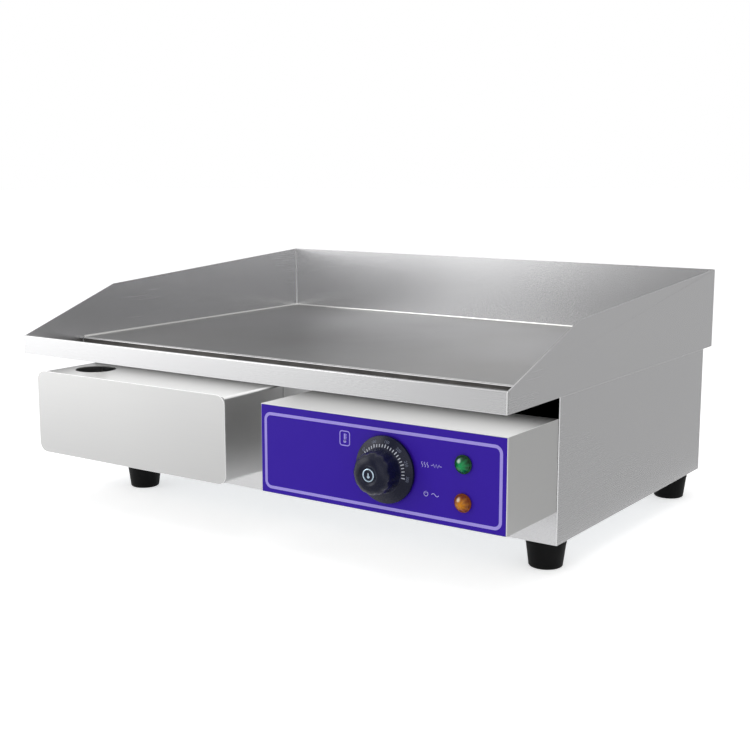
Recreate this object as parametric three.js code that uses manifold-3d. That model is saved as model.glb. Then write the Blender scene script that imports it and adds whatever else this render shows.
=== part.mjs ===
// Counter-top electric griddle. A thick steel plate sits in a stainless splash guard on a box
// body. A control box and a grease drawer hang side by side on the front of the body, under the
// overhang of the splash guard.
// Millimetres. +X is the user's right, +Y the back and +Z up. Every part is laid out from the
// front face of the lip (y = 0), the middle of the width (x = 0) and the table (z = 0); the
// finished group then moves back so that the origin is under the middle of the whole object.
import * as THREE from "three";
import { mergeVertices } from "three/addons/utils/BufferGeometryUtils.js";
import Module from "manifold-3d";

const wasm = await Module();
wasm.setup();

// ---------------------------------------------------------------- driving dimensions

const gap = 0.3; // between parts that touch when they are welded, screwed or pushed together
const bodySheet = 1; // stainless sheet of the body and of both boxes
const panSheet = 1.2; // stainless sheet of the splash guard and the trough
const flange = 14; // width of a folded flange

const pan = {
  width: 550,
  depth: 442,
  lipHeight: 18.5, // every height in this block is above the underside of the plate
  lipThickness: 2.6,
  kneeBack: 124, // from the lip to where the side wall stops rising steeply
  kneeHeight: 60.5,
  backHeight: 80,
};
const plate = { thickness: 8, front: 78, chamfer: 1 };
const trough = { floorDrop: 5.8, fall: 2.4, flatWidth: 74 };
const drain = { fromLeft: 47, fromFront: 51.5, radius: 9.7, wall: 1, length: 10, collar: 15 };

const foot = {
  height: 27,
  topRadius: 18,
  bottomRadius: 15,
  edge: 1.5,
  recessRadius: 9,
  recessDepth: 13,
  insetLeft: 45.5, // from the sides of the body to the middle of the feet
  insetRight: 22,
  insetY: 24,
};
const footScrew = { radius: 3, headRadius: 6, headHeight: 4, above: 9 };
const weldNut = { acrossFlats: 10, height: 5 };

const body = { sideLap: 1, height: 127, frontOverhang: 92.5, rearOverhang: 22 };
const box = {
  leftInset: 11.3, // left box, from the left side of the body
  rightInset: 1, // right box, from the right side of the body
  between: 44.4,
  height: 79.5,
  aboveBase: 29,
  front: 6.5, // both front faces, behind the front of the lip
  cornerRadius: 3,
  rearFlange: 10,
};
const wiringWindow = { leftInset: 60, rightInset: 12, margin: 14 }; // inside the control box
const ventSlot = { width: 5, length: 34, pitch: 14, perRow: 9, rearLift: 8 };

const label = { margin: 0.6, thickness: 0.4, glue: 0.05 };
const knob = {
  fromRight: 112.5, // from the right side of the control box
  fromBottom: 39,
  skirtRadius: 28.5,
  skirtClear: 1,
  skirtThickness: 3.2,
  gripRadius: 18.9,
  frontRadius: 17.6,
  reach: 27.5, // from the front of the metal to the front of the knob
  flutes: 12,
  fluteRadius: 6,
  fluteDepth: 1.3,
  edge: 1.2, // of the skirt and of the front
  fillet: 2.2, // from the skirt up to the grip
  shoulder: 4, // of the grip, in from its side and down from its front
  recessInner: 7.5,
  recessOuter: 18,
  recessDepth: 4,
};
const emblem = { radius: 5.6, thickness: 0.6, sink: 0.4, glue: 0.1 };
const shaft = { radius: 3, flat: 2.2, grip: 14, inBody: 10, panelClear: 2 };
const thermostat = { width: 42, height: 33, depth: 27, bracketWidth: 47, bracket: 1.5 };
const thermostatScrew = { spacing: 28, radius: 1.9, headRadius: 3.5, headHeight: 1.8, length: 9 };
const blade = { width: 6.3, thickness: 0.8, length: 8 };
const lamp = {
  fromRight: 39, // from the right side of the control box
  upperFromBottom: 53.2,
  lowerFromBottom: 21.8,
  lensRadius: 7.8,
  lensReach: 6.5,
  rim: 1.4,
  rimStep: 0.4,
  stemRadius: 4.8,
  stemInside: 3,
  bodyRadius: 6.4,
  bodyLength: 22,
  bladeWidth: 4.8,
};

const drawer = {
  frontLap: 1.7, // how far the front plate stands past the sleeve all round
  frontThickness: 1.5,
  cornerRadius: 10,
  sheet: 0.8,
  sideClear: 1.2,
  topClear: 9,
  rearClear: 3,
  cornerInside: 4,
};
const sleeveHole = { radius: 20.5 };

const element = {
  radius: 4,
  runs: 4, // straight runs in one element
  frontMargin: 20,
  rearMargin: 26,
  sideMargin: 24,
  terminalInset: 34,
  innerBendInset: 59,
  dropBend: 11,
  bendClear: 0.5,
  drop: 38,
  pinRadius: 2.2,
  pinLength: 10,
};
const clamp = { fromMiddle: 130, width: 20, thickness: 3, overrun: 12 };
const nut = { acrossFlats: 10, height: 5, boreRadius: 3.3 };
const stud = { radius: 3, below: 3 };
const shield = { airGap: 1.5, sheet: 1, wall: 15, sideClear: 12, frontClear: 16, matThickness: 13 };
const bulb = { radius: 3, length: 100 };
const clip = { sheet: 1, width: 14, foot: 7 };
const capillary = { radius: 1, bend: 5, level: 15, lead: 20, aboveKnob: 5, sideClear: 12, behind: 26 };
const wire = { radius: 1.7, bend: 8, outward: 16 }; // outward is the straight run at a terminal
const cutout = { radius: 8, height: 10, flangeWidth: 24, bladeWidth: 6, fromRight: 150, fromBack: 150 };
const terminals = { width: 54, depth: 22, height: 18, poleRadius: 4, poleDepth: 6, fromBack: 40 };
const earthStud = { radius: 2.5, height: 12, besideGland: 50, fromBack: 90 };

const gland = {
  fromRight: 84, // from the right side of the body
  fromBottom: 34,
  threadRadius: 10,
  flangeRadius: 14,
  flangeLength: 6,
  domeLength: 13,
  domeStep: 2,
  inside: 10,
  boreRadius: 4.6,
  nutAcrossFlats: 25,
  nutHeight: 5,
};
const rearScrew = { radius: 1.9, headRadius: 3.8, headHeight: 2, length: 8, inset: 6.5, level: 22 };

// ---------------------------------------------------------------- levels and planes

const bodyHalf = pan.width / 2 - body.sideLap;
const bodyBottom = foot.height;
const bodyTop = bodyBottom + body.height;
const bodyFront = body.frontOverhang;
const bodyBack = pan.depth - body.rearOverhang;
const bodyInside = bodyHalf - bodySheet;
const plateTop = bodyTop + plate.thickness;
const lipTop = bodyTop + pan.lipHeight;
const boxWidth = (2 * bodyHalf - box.leftInset - box.rightInset - box.between) / 2;
const boxBottom = bodyBottom + box.aboveBase;
const boxTop = boxBottom + box.height;
const boxBack = bodyFront - gap;
const sleeveLeft = -bodyHalf + box.leftInset;
const sleeveRight = sleeveLeft + boxWidth;
const controlRight = bodyHalf - box.rightInset;
const controlLeft = controlRight - boxWidth;
const knobX = controlRight - knob.fromRight;
const knobZ = boxBottom + knob.fromBottom;
const drainX = -pan.width / 2 + drain.fromLeft;
const terminalX = bodyHalf - element.terminalInset;
const elementZ = bodyTop - gap - element.radius;
const firstRun = bodyFront + element.frontMargin;
const lastRun = bodyBack - element.rearMargin;
const runPitch = (lastRun - firstRun) / (2 * element.runs - 1);
const studRows = [firstRun + runPitch / 2, lastRun - runPitch / 2];
const clampTop = elementZ - element.radius - gap;
const clampStudEnd = clampTop - clamp.thickness - gap - nut.height - stud.below;
const shieldTop = clampStudEnd - shield.airGap - shield.matThickness - gap;
const shieldStudEnd = shieldTop - shield.sheet - gap - nut.height - stud.below;
const pinBottom = elementZ - element.drop - element.pinLength;

// ---------------------------------------------------------------- materials

function finish(color, roughness, metalness, more = {}) {
  return new THREE.MeshStandardMaterial({ color, roughness, metalness, ...more });
}

const stainless = finish(0xc9c9c7, 0.32, 1);
const plateSteel = finish(0x8b8b8c, 0.45, 1);
const zincSteel = finish(0xb4b7ba, 0.4, 1);
const blackPlastic = finish(0x1b1c22, 0.4, 0);
const blackRubber = finish(0x111112, 0.8, 0);
const labelFilm = finish(0x37249a, 0.35, 0);
const emblemMetal = finish(0xc7d6e2, 0.25, 1);
const greenLens = finish(0x0c9a50, 0.08, 0, { transparent: true, opacity: 0.8 });
const amberLens = finish(0xe07a12, 0.08, 0, { transparent: true, opacity: 0.8 });
const elementSheath = finish(0x5d6b5a, 0.55, 1);
const ceramicFibre = finish(0xe9e6dd, 0.95, 0);
const porcelain = finish(0xf1ede2, 0.3, 0);
const copper = finish(0xb87446, 0.35, 1);
const greyNylon = finish(0x2c2d30, 0.5, 0);
const brownSleeve = finish(0x7a3f22, 0.6, 0);
const blueSleeve = finish(0x2659b0, 0.6, 0);
const greenSleeve = finish(0x4f9a3a, 0.6, 0);

// ---------------------------------------------------------------- shape helpers

// A closed solid from a geometry. Only positions are kept, so that shared corners merge.
function solid(geometry) {
  const bare = geometry.index ? geometry.toNonIndexed() : geometry.clone();
  bare.deleteAttribute("normal");
  bare.deleteAttribute("uv");
  const merged = mergeVertices(bare, 1e-4);
  const triVerts = new Uint32Array(merged.index.array);
  const mesh = new wasm.Mesh({
    numProp: 3,
    vertProperties: merged.attributes.position.array,
    triVerts,
  });
  return new wasm.Manifold(mesh);
}

function geometryOf(made) {
  const mesh = made.getMesh();
  const geometry = new THREE.BufferGeometry();
  geometry.setAttribute("position", new THREE.BufferAttribute(mesh.vertProperties, 3));
  geometry.setIndex(new THREE.BufferAttribute(mesh.triVerts, 1));
  geometry.computeVertexNormals();
  return geometry;
}

function joined(...solids) {
  return solids.reduce((all, one) => all.add(one));
}

function cut(made, ...tools) {
  return tools.reduce((rest, tool) => rest.subtract(tool), made);
}

// A rectangular block between two corners.
function block(x0, x1, y0, y1, z0, z1) {
  const geometry = new THREE.BoxGeometry(x1 - x0, y1 - y0, z1 - z0);
  geometry.translate((x0 + x1) / 2, (y0 + y1) / 2, (z0 + z1) / 2);
  return solid(geometry);
}

// A cylinder that stands on z0.
function rod(radius, z0, z1, x = 0, y = 0, sides = 24) {
  const geometry = new THREE.CylinderGeometry(radius, radius, z1 - z0, sides);
  geometry.rotateX(Math.PI / 2).translate(x, y, (z0 + z1) / 2);
  return solid(geometry);
}

// A cylinder along Y, from y0 to y1.
function rodAlongY(radius, x, z, y0, y1, sides = 24) {
  const geometry = new THREE.CylinderGeometry(radius, radius, y1 - y0, sides);
  geometry.translate(x, (y0 + y1) / 2, z);
  return solid(geometry);
}

// A profile of [radius, height] points turned about the Z axis. It runs anticlockwise, from the
// axis back to the axis or closed on itself.
function turned(profile, sides = 32) {
  const points = profile.map(([radius, height]) => new THREE.Vector2(radius, height));
  return solid(new THREE.LatheGeometry(points, sides).rotateX(Math.PI / 2));
}

// A flat outline in X and Y, thickened from z0 to z1.
function slab(shape, z0, z1, curveSegments = 6) {
  const depth = z1 - z0;
  const geometry = new THREE.ExtrudeGeometry(shape, { depth, bevelEnabled: false, curveSegments });
  return solid(geometry.translate(0, 0, z0));
}

// A flat outline whose first axis is X and second is Z, thickened from y0 to y1.
function slabAlongY(shape, y0, y1, curveSegments = 6) {
  const depth = y1 - y0;
  const geometry = new THREE.ExtrudeGeometry(shape, { depth, bevelEnabled: false, curveSegments });
  return solid(geometry.rotateX(Math.PI / 2).translate(0, y1, 0));
}

// A flat outline whose first axis is Y and second is Z, thickened from x0 to x1.
function slabAlongX(shape, x0, x1, curveSegments = 6) {
  const depth = x1 - x0;
  const geometry = new THREE.ExtrudeGeometry(shape, { depth, bevelEnabled: false, curveSegments });
  return solid(geometry.rotateX(Math.PI / 2).rotateZ(Math.PI / 2).translate(x0, 0, 0));
}

function polygon(points) {
  return new THREE.Shape(points.map(([u, v]) => new THREE.Vector2(u, v)));
}

function roundedRectangle(u0, u1, v0, v1, radius) {
  const shape = new THREE.Shape();
  shape.moveTo(u0 + radius, v0);
  shape.lineTo(u1 - radius, v0);
  shape.absarc(u1 - radius, v0 + radius, radius, -Math.PI / 2, 0);
  shape.lineTo(u1, v1 - radius);
  shape.absarc(u1 - radius, v1 - radius, radius, 0, Math.PI / 2);
  shape.lineTo(u0 + radius, v1);
  shape.absarc(u0 + radius, v1 - radius, radius, Math.PI / 2, Math.PI);
  shape.lineTo(u0, v0 + radius);
  shape.absarc(u0 + radius, v0 + radius, radius, Math.PI, 1.5 * Math.PI);
  return shape;
}

function hexagon(acrossFlats) {
  const corner = acrossFlats / Math.sqrt(3);
  const turn = Math.PI / 3;
  const at = [0, 1, 2, 3, 4, 5].map((i) => [corner * Math.cos(i * turn), corner * Math.sin(i * turn)]);
  return polygon(at);
}

// A route of straight runs with rounded corners. Equal steps in t are corners and run ends, and
// not equal lengths, so a straight run takes one step however long it is.
class RoundedRoute extends THREE.Curve {
  constructor(points, bend, stepsPerBend = 4) {
    super();
    const corners = points.map(([x, y, z]) => new THREE.Vector3(x, y, z));
    this.stations = [corners[0]];
    for (let i = 1; i < corners.length - 1; i++) {
      const [before, corner, after] = corners.slice(i - 1, i + 2);
      const radius = points[i][3] ?? bend;
      this.stations.push(...roundedCorner(before, corner, after, radius, stepsPerBend));
    }
    this.stations.push(corners.at(-1));
  }
  getUtoTmapping(u) {
    return u;
  }
  getPoint(t, target = new THREE.Vector3()) {
    const along = t * (this.stations.length - 1);
    const i = Math.min(Math.floor(along), this.stations.length - 2);
    return target.lerpVectors(this.stations[i], this.stations[i + 1], along - i);
  }
}

// The points of an arc that rounds the corner between two straight runs.
function roundedCorner(before, corner, after, radius, steps) {
  const incoming = corner.clone().sub(before).normalize();
  const outgoing = after.clone().sub(corner).normalize();
  const turn = incoming.angleTo(outgoing);
  const reach = radius * Math.tan(turn / 2);
  const start = corner.clone().addScaledVector(incoming, -reach);
  const inward = outgoing.clone().addScaledVector(incoming, -outgoing.dot(incoming)).normalize();
  const points = [];
  for (let i = 0; i <= steps; i++) {
    const angle = (turn * i) / steps;
    const point = start.clone().addScaledVector(incoming, radius * Math.sin(angle));
    points.push(point.addScaledVector(inward, radius * (1 - Math.cos(angle))));
  }
  return points;
}

// A round bar or wire along a route of [x, y, z] or [x, y, z, bend] corners.
function bar(points, radius, bend, sides = 8, stepsPerBend = 4) {
  const route = new RoundedRoute(points, bend, stepsPerBend);
  const section = new THREE.Shape();
  section.absarc(0, 0, radius, 0, 2 * Math.PI);
  const options = { steps: route.stations.length - 1, extrudePath: route, curveSegments: sides / 2 };
  return solid(new THREE.ExtrudeGeometry(section, options));
}

const griddle = new THREE.Group();
griddle.name = "electric_griddle";

// Adds one solid as a named mesh.
function part(name, made, material, parent = griddle, position = [0, 0, 0]) {
  const mesh = new THREE.Mesh(geometryOf(made), material);
  mesh.name = name;
  mesh.position.set(...position);
  parent.add(mesh);
  return mesh;
}

// ---------------------------------------------------------------- splash guard, trough, plate

// Left wall, back wall and right wall, bent from one sheet.
function splashGuard() {
  const start = pan.lipThickness + gap;
  const side = polygon([
    [start, bodyTop],
    [pan.depth, bodyTop],
    [pan.depth, bodyTop + pan.backHeight],
    [pan.kneeBack, bodyTop + pan.kneeHeight],
    [start, lipTop],
  ]);
  const half = pan.width / 2;
  const left = slabAlongX(side, -half, -half + panSheet);
  const right = slabAlongX(side, half - panSheet, half);
  const back = block(-half, half, pan.depth - panSheet, pan.depth, bodyTop, bodyTop + pan.backHeight);
  return joined(left, right, back);
}

// The front lip is folded over double, and its inner leaf runs back as the trough floor, which
// falls to the drain at the left.
const floorTop = plateTop - trough.floorDrop;
const floorLeft = -pan.width / 2 + panSheet + gap;
const floorRight = -floorLeft;

function greaseTrough() {
  const rimRadius = pan.lipThickness / 2;
  const lip = new THREE.Shape();
  lip.moveTo(0, bodyTop);
  lip.lineTo(pan.lipThickness, bodyTop);
  lip.lineTo(pan.lipThickness, lipTop - rimRadius);
  lip.absarc(rimRadius, lipTop - rimRadius, rimRadius, 0, Math.PI);
  const floor = polygon([
    [floorLeft, floorTop - panSheet],
    [floorLeft + trough.flatWidth, floorTop - panSheet],
    [floorRight, floorTop - panSheet + trough.fall],
    [floorRight, floorTop + trough.fall],
    [floorLeft + trough.flatWidth, floorTop],
    [floorLeft, floorTop],
  ]);
  const whole = joined(
    slabAlongX(lip, -pan.width / 2, pan.width / 2, 8),
    slabAlongY(floor, pan.lipThickness - gap, plate.front - gap),
  );
  const hole = drain.radius + drain.wall + gap;
  return cut(whole, rod(hole, bodyTop - 10, lipTop, drainX, drain.fromFront, 32));
}

// A short tube through the trough floor, with a collar welded against its underside.
function drainSpout() {
  const outer = drain.radius + drain.wall;
  const collarTop = floorTop - panSheet - gap;
  return turned([
    [drain.radius, floorTop - drain.length],
    [outer, floorTop - drain.length],
    [outer, collarTop - drain.wall],
    [drain.collar, collarTop - drain.wall],
    [drain.collar, collarTop],
    [outer, collarTop],
    [outer, floorTop],
    [drain.radius, floorTop],
    [drain.radius, floorTop - drain.length],
  ], 24);
}

// The cooking plate, with the studs that are welded to its underside: four hold the element
// clamps and two in the middle carry the heat shield.
function griddlePlate() {
  const edge = pan.width / 2 - panSheet - gap;
  const back = pan.depth - panSheet - gap;
  const side = polygon([
    [plate.front, bodyTop],
    [back, bodyTop],
    [back, plateTop],
    [plate.front + plate.chamfer, plateTop],
    [plate.front, plateTop - plate.chamfer],
  ]);
  const studs = studRows.flatMap((y) => [
    rod(stud.radius, clampStudEnd, bodyTop + 1, -clamp.fromMiddle, y, 12),
    rod(stud.radius, clampStudEnd, bodyTop + 1, clamp.fromMiddle, y, 12),
    rod(stud.radius, shieldStudEnd, bodyTop + 1, 0, y, 12),
  ]);
  return joined(slabAlongX(side, -edge, edge), ...studs);
}

part("splash_guard", splashGuard(), stainless);
part("grease_trough", greaseTrough(), stainless);
part("drain_spout", drainSpout(), stainless, griddle, [drainX, drain.fromFront, 0]);
part("griddle_plate", griddlePlate(), plateSteel);

// ---------------------------------------------------------------- heating elements

// A tube bent into four runs under the plate. Both ends turn down at the right and end in pins.
function heatingElement(firstY) {
  const left = -bodyHalf + element.sideMargin;
  const innerRight = bodyHalf - element.innerBendInset;
  const bend = runPitch / 2 - element.bendClear;
  const end = elementZ - element.drop;
  const y = [0, 1, 2, 3].map((run) => firstY + run * runPitch);
  const route = [
    [terminalX, y[0], end],
    [terminalX, y[0], elementZ, element.dropBend],
    [left, y[0], elementZ],
    [left, y[1], elementZ],
    [innerRight, y[1], elementZ],
    [innerRight, y[2], elementZ],
    [left, y[2], elementZ],
    [left, y[3], elementZ],
    [terminalX, y[3], elementZ, element.dropBend],
    [terminalX, y[3], end],
  ];
  const pins = [y[0], y[3]].map((pinY) => rod(element.pinRadius, pinBottom, end + 2, terminalX, pinY, 8));
  return joined(bar(route, element.radius, bend), ...pins);
}

// A flat bar that presses the runs against the plate, with a hole for each of its studs.
function clampBar(x) {
  const bottom = clampTop - clamp.thickness;
  const side = clamp.width / 2;
  const holes = studRows.map((y) => rod(nut.boreRadius, bottom - 1, clampTop + 1, x, y, 12));
  const front = firstRun - clamp.overrun;
  const back = lastRun + clamp.overrun;
  const flat = block(x - side, x + side, front, back, bottom, clampTop);
  return cut(flat, ...holes);
}

function hexNut({ acrossFlats, height, boreRadius }, sides = 12) {
  const blank = slab(hexagon(acrossFlats), 0, height);
  return cut(blank, rod(boreRadius, -1, height + 1, 0, 0, sides));
}

part("heating_element_front", heatingElement(firstRun), elementSheath);
part("heating_element_rear", heatingElement(firstRun + element.runs * runPitch), elementSheath);
const clampNutZ = clampTop - clamp.thickness - gap - nut.height;
for (const [side, x] of [["left", -clamp.fromMiddle], ["right", clamp.fromMiddle]]) {
  part(`clamp_bar_${side}`, clampBar(x), zincSteel);
  for (const [row, y] of [["front", studRows[0]], ["rear", studRows[1]]])
    part(`clamp_nut_${side}_${row}`, hexNut(nut), zincSteel, griddle, [x, y, clampNutZ]);
}

// ---------------------------------------------------------------- heat shield and insulation

const shieldLeft = -bodyInside + shield.sideClear;
const shieldRight = terminalX - shield.sideClear;
const shieldFront = bodyFront + bodySheet + shield.frontClear;
const shieldBack = bodyBack - 2 * bodySheet - shield.frontClear;

// A shallow tray that holds the fibre mat up under the elements.
function heatShield() {
  const bottom = shieldTop - shield.sheet;
  const t = shield.sheet;
  const top = shieldTop + shield.wall;
  const outer = block(shieldLeft, shieldRight, shieldFront, shieldBack, bottom, top);
  const inner = block(shieldLeft + t, shieldRight - t, shieldFront + t, shieldBack - t, shieldTop, top + 1);
  const holes = studRows.map((y) => rod(nut.boreRadius, bottom - 1, shieldTop + 1, 0, y, 12));
  return cut(outer, inner, ...holes);
}

function insulationMat() {
  const inset = shield.sheet + gap;
  const bottom = shieldTop + gap;
  const top = bottom + shield.matThickness;
  const mat = block(
    shieldLeft + inset,
    shieldRight - inset,
    shieldFront + inset,
    shieldBack - inset,
    bottom,
    top,
  );
  const holes = studRows.map((y) => rod(stud.radius + gap, bottom - 1, top + 1, 0, y, 12));
  return cut(mat, ...holes);
}

part("heat_shield", heatShield(), zincSteel);
part("insulation_mat", insulationMat(), ceramicFibre);
const shieldNutZ = shieldTop - shield.sheet - gap - nut.height;
for (const [row, y] of [["front", studRows[0]], ["rear", studRows[1]]])
  part(`shield_nut_${row}`, hexNut(nut), zincSteel, griddle, [0, y, shieldNutZ]);

// ---------------------------------------------------------------- body

const rearScrewAt = [-1, 1].flatMap((side) =>
  [bodyBottom + rearScrew.level, bodyTop - rearScrew.level].map((z) => [
    side * (bodyInside - rearScrew.inset),
    z,
  ]),
);

// Front and both sides folded from one sheet, with flanges inward at the base, along the top of
// the sides, at the rear of the sides and along the front's low top edge. Above that edge a
// gap under the overhang lets hot air out.
function bodyWrap() {
  const t = bodySheet;
  const top = bodyTop - gap;
  const baseFlange = bodyBottom + t + gap;
  const rearFlange = bodyBack - 2 * t - gap;
  const side = (sign) => {
    const across = (from, to) => [Math.min(sign * from, sign * to), Math.max(sign * from, sign * to)];
    const inner = bodyHalf - flange;
    return joined(
      block(...across(bodyInside, bodyHalf), bodyFront, bodyBack, bodyBottom, top),
      block(...across(inner, bodyHalf), bodyFront, bodyBack - flange, top - t, top),
      block(...across(inner, bodyHalf), bodyFront, rearFlange, baseFlange, baseFlange + t),
      block(...across(inner, bodyHalf), rearFlange, rearFlange + t, baseFlange, top),
    );
  };
  const front = joined(
    block(-bodyHalf, bodyHalf, bodyFront, bodyFront + t, bodyBottom, boxTop),
    block(-bodyHalf, bodyHalf, bodyFront, bodyFront + flange, boxTop - t, boxTop),
    block(-bodyHalf, bodyHalf, bodyFront, bodyFront + flange, baseFlange, baseFlange + t),
  );
  const opening = block(
    controlLeft + wiringWindow.leftInset,
    controlRight - wiringWindow.rightInset,
    bodyFront - 1,
    bodyFront + t + 1,
    boxBottom + wiringWindow.margin,
    boxTop - wiringWindow.margin,
  );
  const screwHoles = rearScrewAt.map(([x, z]) =>
    rodAlongY(rearScrew.radius + gap, x, z, rearFlange - 1, rearFlange + t + 1, 10),
  );
  return cut(joined(side(-1), side(1), front), opening, ...screwHoles);
}

// The outline of a vent slot with round ends. A hair of straight edge is left between the ends.
function ventOutline(u, v) {
  const side = ventSlot.width / 2;
  const end = ventSlot.length / 2;
  return roundedRectangle(u - side, u + side, v - end, v + end, side - 0.01);
}

// Two groups of vents, one behind the middle of each half of the body.
const ventAt = [-1, 1].flatMap((side) =>
  Array.from({ length: ventSlot.perRow }, (_, i) => {
    const fromMiddle = i - (ventSlot.perRow - 1) / 2;
    return (side * bodyHalf) / 2 + fromMiddle * ventSlot.pitch;
  }),
);
const glandX = bodyHalf - gland.fromRight;
const glandZ = bodyBottom + gland.fromBottom;

// The back of the body, screwed to the rear flanges of the sides. It has two groups of vents, a
// hole for the cable gland and a top flange under the rear of the plate.
function rearPanel() {
  const t = bodySheet;
  const edge = bodyInside - gap;
  const top = bodyTop - gap;
  const front = bodyBack - t;
  const sheet = block(-edge, edge, front, bodyBack, bodyBottom, top);
  const shelf = block(-edge + flange, edge - flange, front - flange, bodyBack, top - t, top);
  const ventZ = (bodyBottom + bodyTop) / 2 + ventSlot.rearLift;
  const slots = ventAt.map((x) => slabAlongY(ventOutline(x, ventZ), front - 1, bodyBack + 1, 2));
  const glandHole = rodAlongY(gland.threadRadius + gap, glandX, glandZ, front - 1, bodyBack + 1);
  const screwHoles = rearScrewAt.map(([x, z]) =>
    rodAlongY(rearScrew.radius + gap, x, z, front - 1, bodyBack + 1, 10),
  );
  return cut(joined(sheet, shelf), ...slots, glandHole, ...screwHoles);
}

const footColumns = [foot.insetLeft - bodyHalf, bodyHalf - foot.insetRight];
const footRows = [bodyFront + foot.insetY, bodyBack - foot.insetY];
const footAt = footColumns.flatMap((x) => footRows.map((y) => [x, y]));
const earthX = glandX - earthStud.besideGland;
const earthY = bodyBack - earthStud.fromBack;

// The bottom cover. Nuts for the feet and the earth stud are welded to its upper face.
function basePlate() {
  const t = bodySheet;
  const edge = bodyInside - gap;
  const front = bodyFront + t + gap;
  const back = bodyBack - t - gap;
  const sheet = block(-edge, edge, front, back, bodyBottom, bodyBottom + t);
  const nutTop = bodyBottom + t + weldNut.height;
  const nuts = footAt.map(([x, y]) =>
    slab(hexagon(weldNut.acrossFlats), bodyBottom + t / 2, nutTop).translate(x, y, 0),
  );
  const bores = footAt.map(([x, y]) => rod(footScrew.radius + gap, bodyBottom - 1, nutTop + 1, x, y, 16));
  const ventY = (bodyFront + bodyBack) / 2;
  const slots = ventAt.map((x) => slab(ventOutline(x, ventY), bodyBottom - 1, bodyBottom + t + 1, 2));
  const earthTop = bodyBottom + earthStud.height;
  const earth = rod(earthStud.radius, bodyBottom + t / 2, earthTop, earthX, earthY, 10);
  return cut(joined(sheet, earth, ...nuts), ...bores, ...slots);
}

// Panel screw, its head at z = 0 and above and its shank below.
function panScrew(size) {
  return turned([
    [0, -size.length],
    [size.radius, -size.length],
    [size.radius, 0],
    [size.headRadius, 0],
    [size.headRadius, size.headHeight * 0.5],
    [size.headRadius * 0.7, size.headHeight],
    [0, size.headHeight],
  ], 12);
}

part("body_wrap", bodyWrap(), stainless);
part("rear_panel", rearPanel(), stainless);
part("base_plate", basePlate(), zincSteel);
rearScrewAt.forEach(([x, z], i) => {
  const name = `rear_screw_${i < 2 ? "left" : "right"}_${i % 2 ? "upper" : "lower"}`;
  const screw = part(name, panScrew(rearScrew), zincSteel, griddle, [x, bodyBack + gap, z]);
  screw.rotation.x = -Math.PI / 2;
});

// ---------------------------------------------------------------- feet

// A hollow-bottomed cone of black rubber round its screw.
function rubberFoot() {
  const bore = footScrew.radius + gap;
  return turned([
    [bore, foot.recessDepth],
    [foot.recessRadius, foot.recessDepth],
    [foot.recessRadius, 0],
    [foot.bottomRadius - foot.edge, 0],
    [foot.bottomRadius, foot.edge],
    [foot.topRadius, foot.height - foot.edge],
    [foot.topRadius, foot.height],
    [bore, foot.height],
    [bore, foot.recessDepth],
  ], 24);
}

// The screw's head bears on the roof of the foot's recess, and its end is in the welded nut.
function rubberFootScrew() {
  const seat = foot.recessDepth - gap;
  const end = bodyBottom + footScrew.above;
  return turned([
    [0, seat - footScrew.headHeight],
    [footScrew.headRadius * 0.75, seat - footScrew.headHeight],
    [footScrew.headRadius, seat - footScrew.headHeight * 0.5],
    [footScrew.headRadius, seat],
    [footScrew.radius, seat],
    [footScrew.radius, end],
    [0, end],
  ], 12);
}

footAt.forEach(([x, y], i) => {
  const place = `${i % 2 ? "rear" : "front"}_${i < 2 ? "left" : "right"}`;
  part(`foot_${place}`, rubberFoot(), blackRubber, griddle, [x, y, 0]);
  part(`foot_screw_${place}`, rubberFootScrew(), zincSteel, griddle, [x, y, 0]);
});

// ---------------------------------------------------------------- control box

// Everything on the control panel is laid out with +Z out of the panel, from its metal front.
function onPanel(x, z) {
  const group = new THREE.Group();
  group.position.set(x, box.front, z);
  group.rotation.x = Math.PI / 2;
  griddle.add(group);
  return group;
}

const lampX = controlRight - lamp.fromRight;
const lampRows = [
  ["heating", boxBottom + lamp.upperFromBottom, greenLens],
  ["power", boxBottom + lamp.lowerFromBottom, amberLens],
];
const screwOffsets = [-thermostatScrew.spacing / 2, thermostatScrew.spacing / 2];

// The holes that the thermostat and the lamps need, through a sheet from y0 to y1.
function panelHoles(y0, y1, extra) {
  const screwBore = thermostatScrew.radius + gap + extra;
  return [
    rodAlongY(shaft.radius + shaft.panelClear + extra, knobX, knobZ, y0, y1),
    ...screwOffsets.map((dx) => rodAlongY(screwBore, knobX + dx, knobZ, y0, y1, 12)),
    ...lampRows.map(([, z]) => rodAlongY(lamp.stemRadius + gap + extra, lampX, z, y0, y1)),
  ];
}

// Five faces folded from one sheet, with flanges inward at the back.
function controlHousing() {
  const t = bodySheet;
  const rim = box.rearFlange;
  const outer = block(controlLeft, controlRight, box.front, boxBack, boxBottom, boxTop);
  const inner = block(
    controlLeft + t,
    controlRight - t,
    box.front + t,
    boxBack - t,
    boxBottom + t,
    boxTop - t,
  );
  const mouth = block(
    controlLeft + rim,
    controlRight - rim,
    boxBack - 2 * t,
    boxBack + 1,
    boxBottom + rim,
    boxTop - rim,
  );
  return cut(outer, inner, mouth, ...panelHoles(box.front - 1, box.front + t + 1, 0));
}

function fasciaLabel() {
  const back = box.front - label.glue;
  const front = back - label.thickness;
  const sheet = block(
    controlLeft + label.margin,
    controlRight - label.margin,
    front,
    back,
    boxBottom + label.margin,
    boxTop - label.margin,
  );
  return cut(sheet, ...panelHoles(front - 1, back + 1, 0.2));
}

part("control_housing", controlHousing(), stainless);
part("fascia_label", fasciaLabel(), labelFilm);

// ---------------------------------------------------------------- thermostat and knob

const thermostatBack = -bodySheet - gap - thermostat.bracket - thermostat.depth;

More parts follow.
